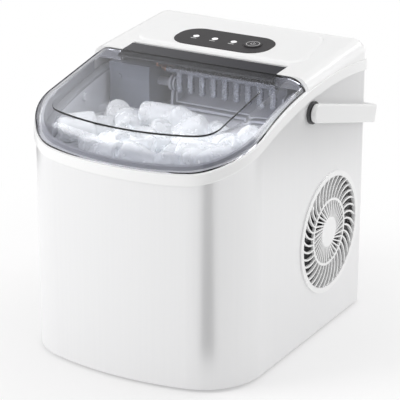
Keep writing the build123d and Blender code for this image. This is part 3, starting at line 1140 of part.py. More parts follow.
def make_water():
    """Pump with its impeller, the two hoses, the drain pipe and its plug."""
    cavity_r = PUMP_R - PUMP_WALL
    motor_z = PUMP_BODY_Z + PUMP_H
    shaft_top = motor_z + IMPELLER_SHAFT_L
    pump = box(PUMP_X - PUMP_R, PUMP_X + PUMP_R, PUMP_Y - PUMP_R, PUMP_Y + PUMP_R, PAN_TOP, PUMP_BODY_Z)
    pump += rod_z(PUMP_BODY_Z, motor_z, PUMP_X, PUMP_Y, PUMP_R)
    pump += rod_z(motor_z, motor_z + PUMP_MOTOR_H, PUMP_X, PUMP_Y, PUMP_MOTOR_R)
    for side in (1, -1):
        pump += rod_y(PUMP_Y, PUMP_Y + side * (PUMP_R + SPIGOT_L), PUMP_X, PUMP_MID_Z, SPIGOT_R)
    reach = PUMP_R + SPIGOT_L
    pump -= rod_y(PUMP_Y - reach, PUMP_Y + reach, PUMP_X, PUMP_MID_Z, SPIGOT_BORE)
    pump -= rod_z(PUMP_BODY_Z + PUMP_WALL, motor_z - PUMP_WALL, PUMP_X, PUMP_Y, cavity_r)
    pump -= rod_z(motor_z - PUMP_WALL, shaft_top + FIT, PUMP_X, PUMP_Y, IMPELLER_SHAFT_R + TOUCH_FIT)
    put_out("water_pump", pump)

    low, high = PUMP_BODY_Z + PUMP_WALL + IMPELLER_SLACK, motor_z - PUMP_WALL - IMPELLER_SLACK
    impeller = rod_z(low, low + IMPELLER_VANE_T, PUMP_X, PUMP_Y, IMPELLER_R)
    impeller += rod_z(low, high, PUMP_X, PUMP_Y, IMPELLER_HUB_R)
    impeller += rod_z(low, shaft_top, PUMP_X, PUMP_Y, IMPELLER_SHAFT_R)
    vane = box(0, IMPELLER_R - FIT, -IMPELLER_VANE_T / 2, IMPELLER_VANE_T / 2, low, high)
    for i in range(IMPELLER_VANES):
        impeller += Pos(PUMP_X, PUMP_Y, 0) * Rot(0, 0, 360 / IMPELLER_VANES * i) * vane
    put_out("pump_impeller", impeller)

    def hose(points):
        """A flexible tube that slips over the spigots at its ends."""
        return tube(points, HOSE_R, HOSE_BEND) - tube(points, SPIGOT_R + TOUCH_FIT, HOSE_BEND)

    drop_y = TANK_REAR_Y + SPIGOT_L + HOSE_BEND
    put_out("intake_hose", hose([
        (PUMP_X, TANK_REAR_Y + FIT, INTAKE_Z), (PUMP_X, drop_y, INTAKE_Z), (PUMP_X, drop_y, PUMP_MID_Z),
        (PUMP_X, PUMP_Y - PUMP_R - FIT, PUMP_MID_Z)]))
    rise_y = PUMP_Y + PUMP_R + SPIGOT_L + HOSE_RUN
    put_out("delivery_hose", hose([
        (PUMP_X, PUMP_Y + PUMP_R + FIT, PUMP_MID_Z), (PUMP_X, rise_y, PUMP_MID_Z),
        (PUMP_X, rise_y, NOZZLE_Z), (PUMP_X, NOZZLE_Y, NOZZLE_Z)]))

    run = [(DRAIN_X, DRAIN_Y, TANK_Z), (DRAIN_X, DRAIN_Y, DRAIN_Z), (DRAIN_X, DRAIN_END_Y, DRAIN_Z)]
    put_out("drain_pipe", tube(run, DRAIN_R, DRAIN_BEND) - tube(run, DRAIN_BORE, DRAIN_BEND))
    cap_y = DRAIN_END_Y + FIT
    plug = rod_y(DRAIN_END_Y - PLUG_L, cap_y, DRAIN_X, DRAIN_Z, DRAIN_BORE - TOUCH_FIT)
    plug += rod_y(cap_y, cap_y + PLUG_CAP_T, DRAIN_X, DRAIN_Z, PLUG_CAP_R)
    tab_y = cap_y + PLUG_CAP_T
    plug += box(DRAIN_X - PLUG_CAP_R / 2, DRAIN_X + PLUG_CAP_R / 2, tab_y, tab_y + PLUG_TAB_L,
                DRAIN_Z - PLUG_TAB_T / 2, DRAIN_Z + PLUG_TAB_T / 2)
    put_out("drain_plug", plug)


os.makedirs("parts", exist_ok=True)
make_cabinet()
make_top()
make_lid()
make_handle()
make_bin()
make_ice_works()
make_cooling()
make_pipes()
make_water()
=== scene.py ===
"""Finishes, bullet ice and a plain studio for a countertop ice maker.

Laid out as an add-on and run as a script. Lengths are in metres, in the frame of the solids.
"""
import math
import random

import bpy
from bpy.props import FloatProperty, FloatVectorProperty, IntProperty, PointerProperty
from mathutils import Matrix, Vector


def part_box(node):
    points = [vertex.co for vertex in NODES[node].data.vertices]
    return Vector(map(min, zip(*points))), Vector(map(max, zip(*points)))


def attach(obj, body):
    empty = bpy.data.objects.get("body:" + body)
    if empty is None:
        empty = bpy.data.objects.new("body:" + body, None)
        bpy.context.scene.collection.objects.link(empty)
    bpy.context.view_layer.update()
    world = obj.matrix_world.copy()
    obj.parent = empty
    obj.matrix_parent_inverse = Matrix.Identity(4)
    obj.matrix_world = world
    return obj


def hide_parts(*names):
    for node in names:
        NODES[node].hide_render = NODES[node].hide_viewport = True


bl_info = {
    "name": "Countertop Ice Maker",
    "version": (1, 0, 0),
    "blender": (4, 5, 0),
    "location": "3D View > Sidebar > Ice Maker",
    "description": "Finishes a countertop ice maker and fills its basket with bullet ice",
    "category": "Object",
}

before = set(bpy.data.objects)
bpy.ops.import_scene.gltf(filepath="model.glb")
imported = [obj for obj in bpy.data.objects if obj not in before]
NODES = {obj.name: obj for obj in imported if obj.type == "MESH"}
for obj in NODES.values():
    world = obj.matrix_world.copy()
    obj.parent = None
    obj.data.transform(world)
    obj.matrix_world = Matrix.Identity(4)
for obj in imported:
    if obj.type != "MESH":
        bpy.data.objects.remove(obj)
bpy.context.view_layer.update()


def tone(name, description, default):
    """A colour property."""
    return FloatVectorProperty(name=name, description=description, default=default,
                               subtype="COLOR", size=3, min=0, max=1)


def size(name, description, default):
    """A length property."""
    return FloatProperty(name=name, description=description, default=default, min=0,
                         precision=4, unit="LENGTH")


def turn(name, description, degrees):
    """An angle property, with its default in degrees."""
    return FloatProperty(name=name, description=description, default=math.radians(degrees),
                         subtype="ANGLE")


def power(name, description, default):
    """The power of a lamp, in watts."""
    return FloatProperty(name=name, description=description, default=default, min=0, unit="POWER")


def number(name, description, default, unit="NONE"):
    """A number property of either sign."""
    return FloatProperty(name=name, description=description, default=default, unit=unit)


def count(name, description, default):
    """A whole number property."""
    return IntProperty(name=name, description=description, default=default, min=0)


class StudioValues(bpy.types.PropertyGroup):
    """Camera, lamps and floor."""

    azimuth: turn("Azimuth", "How far the camera stands round from the front", 30.52)
    elevation: turn("Elevation", "Height of the camera above the horizon", 19.99)
    distance: size("Distance", "From the camera to the point it looks at", 1.7566)
    aim_height: size("Aim Height", "Height of the point the camera looks at", 0.1425)
    aim_depth: number("Aim Depth", "Depth of the point the camera looks at", -0.00681, "LENGTH")
    lens: number("Lens", "Focal length in millimetres", 169.08, "CAMERA")
    shift_x: number("Shift X", "Sideways shift of the frame", 0.0225)
    shift_y: number("Shift Y", "Upward shift of the frame", -0.0347)
    floor: tone("Floor", "Colour of the floor", (0.93, 0.925, 0.928))
    sky: number("Sky", "Strength of the light from all round", 0.48)
    key: power("Key", "Watts of the lamp at the front left", 31.5)
    fill: power("Fill", "Watts of the lamp at the right rear", 2.6)
    top: power("Top", "Watts of the lamp overhead", 10.0)
    strip: power("Strip", "Watts of the strip lamp behind", 2.5)


class FinishTones(bpy.types.PropertyGroup):
    """Colours of the finishes."""

    cabinet: tone("Cabinet", "Satin white wall", (0.86, 0.86, 0.865))
    trim: tone("Trim", "White trim, housing and grille", (0.92, 0.92, 0.92))
    handle: tone("Handle", "White carrying handle", (0.86, 0.86, 0.86))
    smoke: tone("Smoke", "Tint of the clear lid", (0.975, 0.98, 0.995))
    # Deep smoke: the lid's tint at its hinge and walls, and also painted shade where the lid turns
    # from the eye.
    deep_smoke_and_shade: tone("Deep Smoke", "Tint of the lid at its hinge and walls", (0.18, 0.187, 0.24))
    # Painted shade: near black where the lid is seen edge on, standing in for dark surroundings
    # seen in its edges.
    painted_edge_shade: tone("Edge Smoke", "Tint of the lid where it is seen edge on", (0.015, 0.015, 0.02))
    strip: tone("Strip", "Dark strip behind the lid", (0.055, 0.055, 0.062))
    fascia: tone("Fascia", "Control panel and button", (0.036, 0.034, 0.036))
    mark: tone("Mark", "Printed marks on the controls", (0.75, 0.75, 0.75))
    lamp: tone("Lamp", "Indicator lenses", (0.95, 0.95, 0.95))
    boss: tone("Boss", "Handle pivots, motors, fan and pump", (0.05, 0.05, 0.055))
    liner: tone("Liner", "Bin and tank liner", (0.80, 0.81, 0.85))
    bezel: tone("Bezel", "Collar inside the lid", (0.43, 0.438, 0.47))
    basket: tone("Basket", "Ice basket", (0.74, 0.75, 0.77))
    tray: tone("Tray", "Tilting tray and shovel", (0.49, 0.50, 0.56))
    slate: tone("Slate", "Cover of the tray drive", (0.19, 0.205, 0.25))
    nickel: tone("Nickel", "Plated evaporator", (0.46, 0.47, 0.52))
    copper: tone("Copper", "Refrigerant lines", (0.72, 0.36, 0.22))
    aluminium: tone("Aluminium", "Condenser fins", (0.76, 0.77, 0.78))
    steel: tone("Steel", "Screws, bolts and pins", (0.56, 0.56, 0.57))
    zinc: tone("Zinc", "Fan frame", (0.50, 0.51, 0.52))
    base: tone("Base", "Base pan", (0.20, 0.20, 0.205))
    black: tone("Black", "Compressor and rubber", (0.02, 0.02, 0.022))
    board: tone("Board", "Circuit boards", (0.03, 0.16, 0.07))
    silicone: tone("Silicone", "Hoses and drain plug", (0.72, 0.73, 0.72))
    foam: tone("Foam", "Tank insulation", (0.86, 0.86, 0.83))
    ice: tone("Ice", "Clear part of the ice", (0.955, 0.966, 0.98))
    milk: tone("Milk", "Cloudy part of the ice", (0.985, 0.99, 1.0))


class IceValues(bpy.types.PropertyGroup):
    """Sizes of the bullet ice and its heap."""

    diameter: size("Diameter", "Width of one bullet", 0.0265)
    height: size("Height", "Length of one bullet", 0.031)
    hole: size("Hole", "Width of the hollow that the finger leaves", 0.0095)
    depth: size("Depth", "Depth of that hollow", 0.019)
    heap: size("Heap", "Highest point of the heap", 0.2315)
    headroom: size("Headroom", "Room between the heap and the closed lid", 0.0118)
    wall: size("Wall", "From the basket's box to the inside of its wall", 0.0048)
    bow: size("Bow", "Radius of the basket's bowed front", 0.260)
    corner: size("Corner", "Radius of the basket's front corners", 0.037)
    floor: size("Floor", "Thickness of the basket's floor", 0.002)
    lid: size("Lid", "From the top of the lid's window to the underside of the lid", 0.0038)
    slope: number("Slope", "Rise of the lid for each unit towards its hinge", 0.2)
    spill: size("Spill", "How much wider the heap is above the basket's rim", 0.0045)
    spacing: number("Spacing", "Distance of two bullets, in radii", 1.44)
    seed: count("Seed", "Start of the random heap", 7)
    tries: count("Tries", "Places tried for each bullet", 40)
    misses: count("Misses", "Bullets that find no place before the heap is full", 160)


class MarkValues(bpy.types.PropertyGroup):
    """Sizes of the printed marks."""

    ring: size("Ring", "Radius of the ring on the button", 0.0066)
    sign: size("Sign", "Radius of the power sign", 0.0024)
    line: size("Line", "Width of the printed lines", 0.0005)
    gap: turn("Gap", "Half the angle that the power sign is open", 38)
    dash: size("Dash", "Length of the dash by a lens", 0.0062)
    dash_line: size("Dash Line", "Width of that dash", 0.0011)
    dash_drop: size("Dash Drop", "From the middle of a lens to its dash", 0.0058)
    film: size("Film", "Thickness of the print", 0.0001)


class ScrewValues(bpy.types.PropertyGroup):
    """Sizes of the rear panel's screws."""

    head: size("Head", "Radius of a head", 0.003)
    rise: size("Rise", "Height of a head", 0.0016)
    shank: size("Shank", "Radius of a shank", 0.0014)
    slot: size("Slot", "Length of each bar of the cross", 0.0036)
    cut: size("Cut", "Width of each bar of the cross", 0.0008)
    depth: size("Depth", "Depth of the cross", 0.0009)
    rows: count("Rows", "Screws up each side", 4)


def deselect():
    """Leave edit mode and deselect everything."""
    if bpy.context.mode != "OBJECT":
        bpy.ops.object.mode_set(mode="OBJECT")
    bpy.ops.object.select_all(action="DESELECT")


def pick(piece):
    """Make a piece the only one selected, and active."""
    deselect()
    piece.select_set(True)
    bpy.context.view_layer.objects.active = piece


def keep(piece, name, body, material):
    """Name a finished piece, set its place into its mesh, and give it a finish and a body."""
    pick(piece)
    bpy.ops.object.transform_apply(location=True, rotation=True, scale=True)
    piece.name = name
    piece.data.name = name
    piece.data.materials.clear()
    piece.data.materials.append(material)
    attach(piece, body)
    return piece


def apply_modifier(piece, kind, **settings):
    """Add a modifier to a piece and apply it."""
    pick(piece)
    modifier = piece.modifiers.new(kind.lower(), kind)
    for label, value in settings.items():
        setattr(modifier, label, value)
    bpy.ops.object.modifier_apply(modifier=modifier.name)


def join(pieces):
    """Join pieces into the first of them."""
    deselect()
    for piece in pieces:
        piece.select_set(True)
    bpy.context.view_layer.objects.active = pieces[0]
    bpy.ops.object.join()
    return pieces[0]


def place_copy(piece, name, place):
    """A copy of a piece, with its own mesh, at a place."""
    copy = bpy.data.objects.new(name, piece.data.copy())
    bpy.context.scene.collection.objects.link(copy)
    copy.matrix_world = place
    return copy


def select_end(mesh, side):
    """In edit mode, select only the highest face of a mesh, or with -1 the lowest."""
    bpy.ops.mesh.select_all(action="DESELECT")
    bpy.ops.object.mode_set(mode="OBJECT")
    max(mesh.polygons, key=lambda face: face.center.z * side).select = True
    bpy.ops.object.mode_set(mode="EDIT")


def top_plane(name, upward=0.9):
    """The flat top of a node: its origin in the middle, X along the machine's X, and Z outwards."""
    faces = [face for face in NODES[name].data.polygons if face.normal.z > upward]
    face = max(faces, key=lambda item: item.area)
    outward = face.normal.copy()
    low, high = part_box(name)
    middle = (low + high) / 2
    middle.z += (face.center - middle).dot(outward) / outward.z
    along = Vector((1, 0, 0))
    axes = Matrix((along, outward.cross(along), outward)).transposed().to_4x4()
    return Matrix.Translation(middle) @ axes


def dress(material, *names):
    """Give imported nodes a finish."""
    for name in names:
        NODES[name].data.materials.clear()
        NODES[name].data.materials.append(material)


def new_group(name, inputs, outputs):
    """A shader node group with named sockets, and its two end nodes."""
    tree = bpy.data.node_groups.new(name, "ShaderNodeTree")
    for label, kind, value in inputs:
        socket = tree.interface.new_socket(label, in_out="INPUT", socket_type=kind)
        socket.default_value = value
    for label, kind in outputs:
        tree.interface.new_socket(label, in_out="OUTPUT", socket_type=kind)
    return tree, tree.nodes.new("NodeGroupInput"), tree.nodes.new("NodeGroupOutput")


def math_node(tree, operation, first, second):
    """A Math node whose inputs are sockets or numbers."""
    node = tree.nodes.new("ShaderNodeMath")
    node.operation = operation
    for socket, value in zip(node.inputs, (first, second)):
        if isinstance(value, (int, float)):
            socket.default_value = value
        else:
            tree.links.new(value, socket)
    return node.outputs[0]


def noise(tree, scale, stretch=(1, 1, 1), detail=3.0):
    """Noise in the piece's own coordinates, stretched along an axis if asked."""
    place = tree.nodes.new("ShaderNodeTexCoord")
    mapping = tree.nodes.new("ShaderNodeMapping")
    mapping.inputs["Scale"].default_value = stretch
    texture = tree.nodes.new("ShaderNodeTexNoise")
    texture.inputs["Detail"].default_value = detail
    tree.links.new(place.outputs["Object"], mapping.inputs["Vector"])
    tree.links.new(mapping.outputs["Vector"], texture.inputs["Vector"])
    if isinstance(scale, (int, float)):
        texture.inputs["Scale"].default_value = scale
    else:
        tree.links.new(scale, texture.inputs["Scale"])
    return texture.outputs["Fac"]


def multiply(tree, colour, level):
    """A colour made darker or lighter by a level."""
    scale = tree.nodes.new("ShaderNodeVectorMath")
    scale.operation = "SCALE"
    tree.links.new(colour, scale.inputs[0])
    tree.links.new(level, scale.inputs["Scale"])
    return scale.outputs[0]


SURFACE_INPUTS = (
    ("Colour", "NodeSocketColor", (0.8, 0.8, 0.8, 1)),
    ("Mottle", "NodeSocketFloat", 0.03),
    ("Roughness", "NodeSocketFloat", 0.4),
    ("Unevenness", "NodeSocketFloat", 0.1),
    ("Grain", "NodeSocketFloat", 900.0),
)
SURFACE_OUTPUTS = (
    ("Colour", "NodeSocketColor"),
    ("Roughness", "NodeSocketFloat"),
    ("Height", "NodeSocketFloat"),
)


def surface_group(name, patch_scale, stretch=(1, 1, 1)):
    """A surface with patches of tone and a fine grain of shine, both stretched the same way."""
    tree, start, end = new_group(name, SURFACE_INPUTS, SURFACE_OUTPUTS)
    patches = noise(tree, patch_scale, stretch)
    grain = noise(tree, start.outputs["Grain"], stretch, detail=2.0)
    centred = math_node(tree, "SUBTRACT", patches, 0.5)
    mottle = math_node(tree, "MULTIPLY", centred, start.outputs["Mottle"])
    level = math_node(tree, "ADD", mottle, 1.0)
    tree.links.new(multiply(tree, start.outputs["Colour"], level), end.inputs["Colour"])
    uneven = math_node(tree, "SUBTRACT", grain, 0.5)
    shine = math_node(tree, "MULTIPLY", uneven, start.outputs["Unevenness"])
    rough = math_node(tree, "ADD", shine, start.outputs["Roughness"])
    tree.links.new(rough, end.inputs["Roughness"])
    tree.links.new(grain, end.inputs["Height"])


def ramp(tree, value, low, high):
    """A value mapped smoothly from 0 at low to 1 at high."""
    node = tree.nodes.new("ShaderNodeMapRange")
    node.interpolation_type = "SMOOTHSTEP"
    node.inputs["From Min"].default_value = low
    node.inputs["From Max"].default_value = high
    tree.links.new(value, node.inputs["Value"])
    return node.outputs["Result"]


def blend(tree, factor, first, second):
    """A mix of two colours, each a socket or a plain colour."""
    node = tree.nodes.new("ShaderNodeMix")
    node.data_type = "RGBA"
    tree.links.new(factor, node.inputs["Factor"])
    for socket, value in ((node.inputs[6], first), (node.inputs[7], second)):
        if isinstance(value, tuple):
            socket.default_value = value
        else:
            tree.links.new(value, socket)
    return node.outputs[2]


def smoke_group(reach=0.10, wall_rise=(0.05, 0.6), share=0.5, cloud_scale=9.0, cloud_share=0.08):
    """How deep the lid's smoke is: none in front, more in the walls and at the hinge, with a cloud.

    The smoke starts at a reach before the hinge. A wall is where the normal rises little.
    """
    tree, _, end = new_group("smoke_depth", (), (("Depth", "NodeSocketFloat"),))
    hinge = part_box("lid_shell")[1].y
    surface = tree.nodes.new("ShaderNodeTexCoord")
    place = tree.nodes.new("ShaderNodeSeparateXYZ")
    tree.links.new(surface.outputs["Object"], place.inputs[0])
    rear = ramp(tree, place.outputs["Y"], hinge - reach, hinge)
    normal = tree.nodes.new("ShaderNodeSeparateXYZ")
    tree.links.new(surface.outputs["Normal"], normal.inputs[0])
    rise = math_node(tree, "ABSOLUTE", normal.outputs["Z"], 0)
    wall = math_node(tree, "SUBTRACT", 1.0, ramp(tree, rise, *wall_rise))
    deep = math_node(tree, "MULTIPLY", math_node(tree, "MAXIMUM", rear, wall), share)
    cloud = math_node(tree, "MULTIPLY", noise(tree, cloud_scale), cloud_share)
    tree.links.new(math_node(tree, "ADD", deep, cloud), end.inputs["Depth"])


def frost_group(milk, cloud_scale=95.0, cloudy=(0.35, 0.7)):
    """Ice with a clear skin and a cloudy, finely pitted inside."""
    tree, start, end = new_group("ice_cloud", SURFACE_INPUTS, SURFACE_OUTPUTS)
    cloud = noise(tree, cloud_scale, detail=4.0)
    pits = noise(tree, start.outputs["Grain"], detail=3.0)
    milky = ramp(tree, cloud, *cloudy)
    colour = blend(tree, milky, start.outputs["Colour"], (*milk, 1))
    tree.links.new(colour, end.inputs["Colour"])
    shine = math_node(tree, "MULTIPLY", milky, start.outputs["Unevenness"])
    rough = math_node(tree, "ADD", shine, start.outputs["Roughness"])
    tree.links.new(rough, end.inputs["Roughness"])
    tree.links.new(pits, end.inputs["Height"])


def new_material(name):
    """A new material, its node tree and its Principled shader."""
    material = bpy.data.materials.new(name)
    material.use_nodes = True
    tree = material.node_tree
    return material, tree, tree.nodes["Principled BSDF"]


def set_plain(shader, **values):
    """Set plain values on a shader's own sockets, with _ for a space in their names."""
    for label, value in values.items():
        shader.inputs[label.replace("_", " ")].default_value = value


def mix_shaders(tree, factor, first, second):
    """Send a mix of two shaders to a material's output."""
    mix = tree.nodes.new("ShaderNodeMixShader")
    tree.links.new(factor, mix.inputs["Fac"])
    tree.links.new(first.outputs[0], mix.inputs[1])
    tree.links.new(second.outputs[0], mix.inputs[2])
    tree.links.new(mix.outputs[0], tree.nodes["Material Output"].inputs["Surface"])


def finish(name, group, colour, roughness, mottle=0.03, unevenness=0.08, grain=900.0, relief=0.0,
           **plain):
    """A material fed by a surface group; plain values go on the shader's own sockets."""
    material, tree, shader = new_material(name)
    layer = tree.nodes.new("ShaderNodeGroup")
    layer.node_tree = bpy.data.node_groups[group]
    given = {"Colour": (*colour, 1), "Mottle": mottle, "Roughness": roughness,
             "Unevenness": unevenness, "Grain": grain}
    for socket in layer.inputs:
        socket.default_value = given[socket.name]
    tree.links.new(layer.outputs["Colour"], shader.inputs["Base Color"])
    tree.links.new(layer.outputs["Roughness"], shader.inputs["Roughness"])
    if relief:
        bump = tree.nodes.new("ShaderNodeBump")
        bump.inputs["Distance"].default_value = relief
        tree.links.new(layer.outputs["Height"], bump.inputs["Height"])
        tree.links.new(bump.outputs["Normal"], shader.inputs["Normal"])
    set_plain(shader, **plain)
    return material


def let_lamps_through(material, tint):
    """Let lamp light pass a clear finish, tinted, so that what is behind it is lit."""
    tree = material.node_tree
    rays = tree.nodes.new("ShaderNodeLightPath")
    film = tree.nodes.new("ShaderNodeBsdfTransparent")
    film.inputs["Color"].default_value = (*tint, 1)
    mix_shaders(tree, rays.outputs["Is Shadow Ray"], tree.nodes["Principled BSDF"], film)
    return material


class ICEMAKER_OT_surfaces(bpy.types.Operator):
    """Build the surface groups that the finishes share"""

    bl_idname = "icemaker.surfaces"
    bl_label = "Surface Groups"

    def execute(self, context):
        surface_group("moulded", patch_scale=22.0)
        surface_group("upright_brushing", patch_scale=480.0, stretch=(1, 1, 0.010))
        surface_group("drawn_metal", patch_scale=60.0)
        smoke_group()
        frost_group(context.scene.icemaker_tones.milk)
        return {"FINISHED"}


# Each lamp's place and size, and whether reflections show it; its watts are in StudioValues.
LAMPS = {
    "key": ((-1.7, -1.45, 1.35), (1.3, 1.3), False),
    "fill": ((0.88, 0.74, 0.52), (0.6, 0.6), True),
    "top": ((0.1, 0.3, 2.0), (1.6, 1.6), True),
    "strip": ((0.62, 1.22, 0.98), (0.7, 0.12), True),
}
# Each dark card's place, size and glow.
FLAGS = {
    "overhead": ((-1.15, 1.60, 1.45), (1.5, 0.9), 0.9),
    "rear": ((0.55, 1.25, 0.62), (1.7, 0.34), 0.0),
    "side": ((1.5, 0.55, 0.25), (0.5, 0.7), 0.0),
    "left": ((-0.48, 0.28, 0.14), (0.7, 0.42), 0.0),
    "right": ((0.46, 0.44, 0.10), (0.36, 0.3), 0.0),
    "corner": ((0.142, -0.200, 0.08), (0.046, 0.34), 0.0),
}
FLAG_BLACK = (0.01, 0.01, 0.01, 1)
FLAG_GLOW_ENDS = (0.3, -0.3)  # along a card, from 0.5 to -0.5, where its glow starts and is full
FLOOR_SIZE = 12
FLOOR_FADE = (0.12, 0.45)  # from the middle, where the floor starts to fade and is white
FLOOR_GLOW = 0.4  # share of white in the floor under the machine


class ICEMAKER_OT_studio(bpy.types.Operator):
    """Add the floor, the sky, the lamps and the camera"""

    bl_idname = "icemaker.studio"
    bl_label = "Studio"

    def execute(self, context):
        values = context.scene.icemaker_studio
        self.floor(values)
        self.sky(values)
        aim = Vector((0, values.aim_depth, values.aim_height))
        for name, (place, sides, seen) in LAMPS.items():
            self.lamp(name + "_lamp", place, aim, sides, getattr(values, name), seen)
        for name, (place, sides, glow) in FLAGS.items():
            self.flag(name + "_flag", place, aim, sides, glow)
        self.camera(context, values, aim)
        context.scene.view_settings.view_transform = "Standard"
        return {"FINISHED"}

    def floor(self, values):
        """A pale floor that fades to white away from the machine."""
        deselect()
        bpy.ops.mesh.primitive_grid_add(x_subdivisions=8, y_subdivisions=8, size=FLOOR_SIZE)
        floor = bpy.context.object
        floor.name = "floor"
        material, tree, shader = new_material("studio_floor")
        set_plain(shader, Base_Color=(*values.floor, 1), Roughness=0.6, Specular_IOR_Level=0.25)
        place = tree.nodes.new("ShaderNodeTexCoord")
        reach = tree.nodes.new("ShaderNodeVectorMath")
        reach.operation = "LENGTH"
        tree.links.new(place.outputs["Object"], reach.inputs[0])
        fade = ramp(tree, reach.outputs["Value"], *FLOOR_FADE)
        fade = math_node(tree, "MULTIPLY", fade, 1 - FLOOR_GLOW)
        glow = tree.nodes.new("ShaderNodeEmission")
        mix_shaders(tree, math_node(tree, "ADD", fade, FLOOR_GLOW), shader, glow)
        floor.data.materials.append(material)

    def sky(self, values):
        """Soft light from all round, which the camera, metal and glass see as white."""
        world = bpy.data.worlds.new("studio_sky")
        bpy.context.scene.world = world
        world.use_nodes = True
        tree = world.node_tree
        light = tree.nodes["Background"]
        rays = tree.nodes.new("ShaderNodeLightPath")
        strength = values.sky
        for kind in ("Camera", "Transmission", "Glossy"):
            strength = math_node(tree, "MAXIMUM", rays.outputs[f"Is {kind} Ray"], strength)
        light.inputs["Color"].default_value = (1, 1, 1, 1)
        tree.links.new(strength, light.inputs["Strength"])

    def lamp(self, name, place, aim, sides, watts, seen):
        """A soft lamp turned to the machine, unseen by the camera and, if asked, by reflections."""
        data = bpy.data.lights.new(name, "AREA")
        data.shape = "RECTANGLE"
        data.size, data.size_y = sides
        data.energy = watts
        lamp = bpy.data.objects.new(name, data)
        bpy.context.scene.collection.objects.link(lamp)
        lamp.visible_camera = False
        lamp.visible_glossy = seen
        lamp.location = place
        lamp.rotation_euler = (aim - lamp.location).to_track_quat("-Z", "Y").to_euler()

    def flag(self, name, place, aim, sides, glow):
        """A black card that only reflections see; it may glow towards one end."""
        deselect()
        bpy.ops.mesh.primitive_grid_add(x_subdivisions=2, y_subdivisions=2, size=1)
        flag = bpy.context.object
        flag.name = name
        flag.scale = (*sides, 1)
        flag.location = place
        flag.rotation_euler = (aim - Vector(place)).to_track_quat("Z", "Y").to_euler()
        card, tree, shader = new_material(name)
        set_plain(shader, Base_Color=FLAG_BLACK, Specular_IOR_Level=0.0)
        if glow:
            surface = tree.nodes.new("ShaderNodeTexCoord")
            along = tree.nodes.new("ShaderNodeSeparateXYZ")
            tree.links.new(surface.outputs["Object"], along.inputs[0])
            level = ramp(tree, along.outputs["X"], *FLAG_GLOW_ENDS)
            level = math_node(tree, "MULTIPLY", level, glow)
            tree.links.new(level, shader.inputs["Emission Strength"])
        flag.data.materials.append(card)
        flag.visible_camera = flag.visible_diffuse = False
        flag.visible_shadow = flag.visible_transmission = False

    def camera(self, context, values, aim):
        """The camera at the photograph's viewing angle."""
        data = bpy.data.cameras.new("camera")
        data.lens = values.lens
        data.shift_x = values.shift_x
        data.shift_y = values.shift_y
        camera = bpy.data.objects.new("camera", data)
        context.scene.collection.objects.link(camera)
        level = math.cos(values.elevation)
        back = Vector((math.sin(values.azimuth) * level, -math.cos(values.azimuth) * level,
                       math.sin(values.elevation)))
        camera.location = aim + values.distance * back
        camera.rotation_euler = back.to_track_quat("Z", "Y").to_euler()
        context.scene.camera = camera


class ICEMAKER_OT_outside(bpy.types.Operator):
    """Finish the cabinet, trim, housing, grille, handle and base"""

    bl_idname = "icemaker.outside"
    bl_label = "Outside"

    def execute(self, context):
        tones = context.scene.icemaker_tones
        dress(finish("cabinet_satin", "upright_brushing", tones.cabinet, 0.28, mottle=0.035,
                     unevenness=0.01, grain=700.0, Metallic=0.3),
              "cabinet_skin", "rear_panel")
        dress(finish("trim_gloss", "moulded", tones.trim, 0.34, mottle=0.012, unevenness=0.02,
                     Coat_Weight=0.1),
              "top_trim", "top_housing", "side_grille")
        dress(finish("handle_satin", "moulded", tones.handle, 0.38, mottle=0.015, relief=0.00001),
              "handle_bail")
        dress(finish("boss_dark", "moulded", tones.boss, 0.45), "handle_pivots")
        dress(finish("base_moulding", "moulded", tones.base, 0.6, relief=0.00004), "base_pan")
        dress(finish("rubber_black", "moulded", tones.black, 0.75, mottle=0.2, relief=0.00005),
              "foot_pads", "compressor_grommets", "cord_gland")
        dress(finish("plated_steel", "drawn_metal", tones.steel, 0.32, mottle=0.15, Metallic=1.0),
              "rear_panel_screws", "compressor_bolts", "lid_hinge_pins")
        return {"FINISHED"}


# Where the lid turns from the eye it takes the deep smoke: partly the longer path through the
# smoke, partly painted shade.
SMOKE_AND_SHADE_FACING = (0.25, 0.8)  # turned away from the eye, where the deep smoke starts and is full
# Painted shade: where the lid's near-black edge starts and is full.
PAINTED_EDGE_FACING = (0.42, 0.75)  # the same for the dark edge
SMOKE_FILM = (0.98, 0.98, 0.985)  # tint of the lamps' light through the lid


class ICEMAKER_OT_lid(bpy.types.Operator):
    """Finish the smoke-tinted lid and its hinge strip"""

    bl_idname = "icemaker.lid"
    bl_label = "Lid"

    def execute(self, context):
        tones = context.scene.icemaker_tones
        dress(self.smoke(tones), "lid_shell")
        dress(finish("smoke_strip", "moulded", tones.strip, 0.14), "lid_hinge_strip")
        return {"FINISHED"}

    def smoke(self, tones):
        """Clear plastic whose smoke deepens to the rear, and which darkens where it is seen edge
        on: partly the longer path through the smoke, partly painted shade that stands in for dark
        surroundings seen in its edges.
        """
        material, tree, shader = new_material("smoke_clear")
        layer = tree.nodes.new("ShaderNodeGroup")
        layer.node_tree = bpy.data.node_groups["smoke_depth"]
        edge = tree.nodes.new("ShaderNodeLayerWeight")
        edge.inputs["Blend"].default_value = 0.35
        away = edge.outputs["Facing"]
        # Partly painted shade: the deep smoke also comes in where the lid turns from the eye.
        depth = math_node(tree, "MAXIMUM", layer.outputs["Depth"], ramp(tree, away, *SMOKE_AND_SHADE_FACING))
        tint = blend(tree, depth, (*tones.smoke, 1), (*tones.deep_smoke_and_shade, 1))
        # Painted shade: the lid turns near black where it is seen edge on.
        tint = blend(tree, ramp(tree, away, *PAINTED_EDGE_FACING), tint, (*tones.painted_edge_shade, 1))
        tree.links.new(tint, shader.inputs["Base Color"])
        set_plain(shader, Roughness=0.02, IOR=1.46, Transmission_Weight=1.0)
        return let_lamps_through(material, SMOKE_FILM)


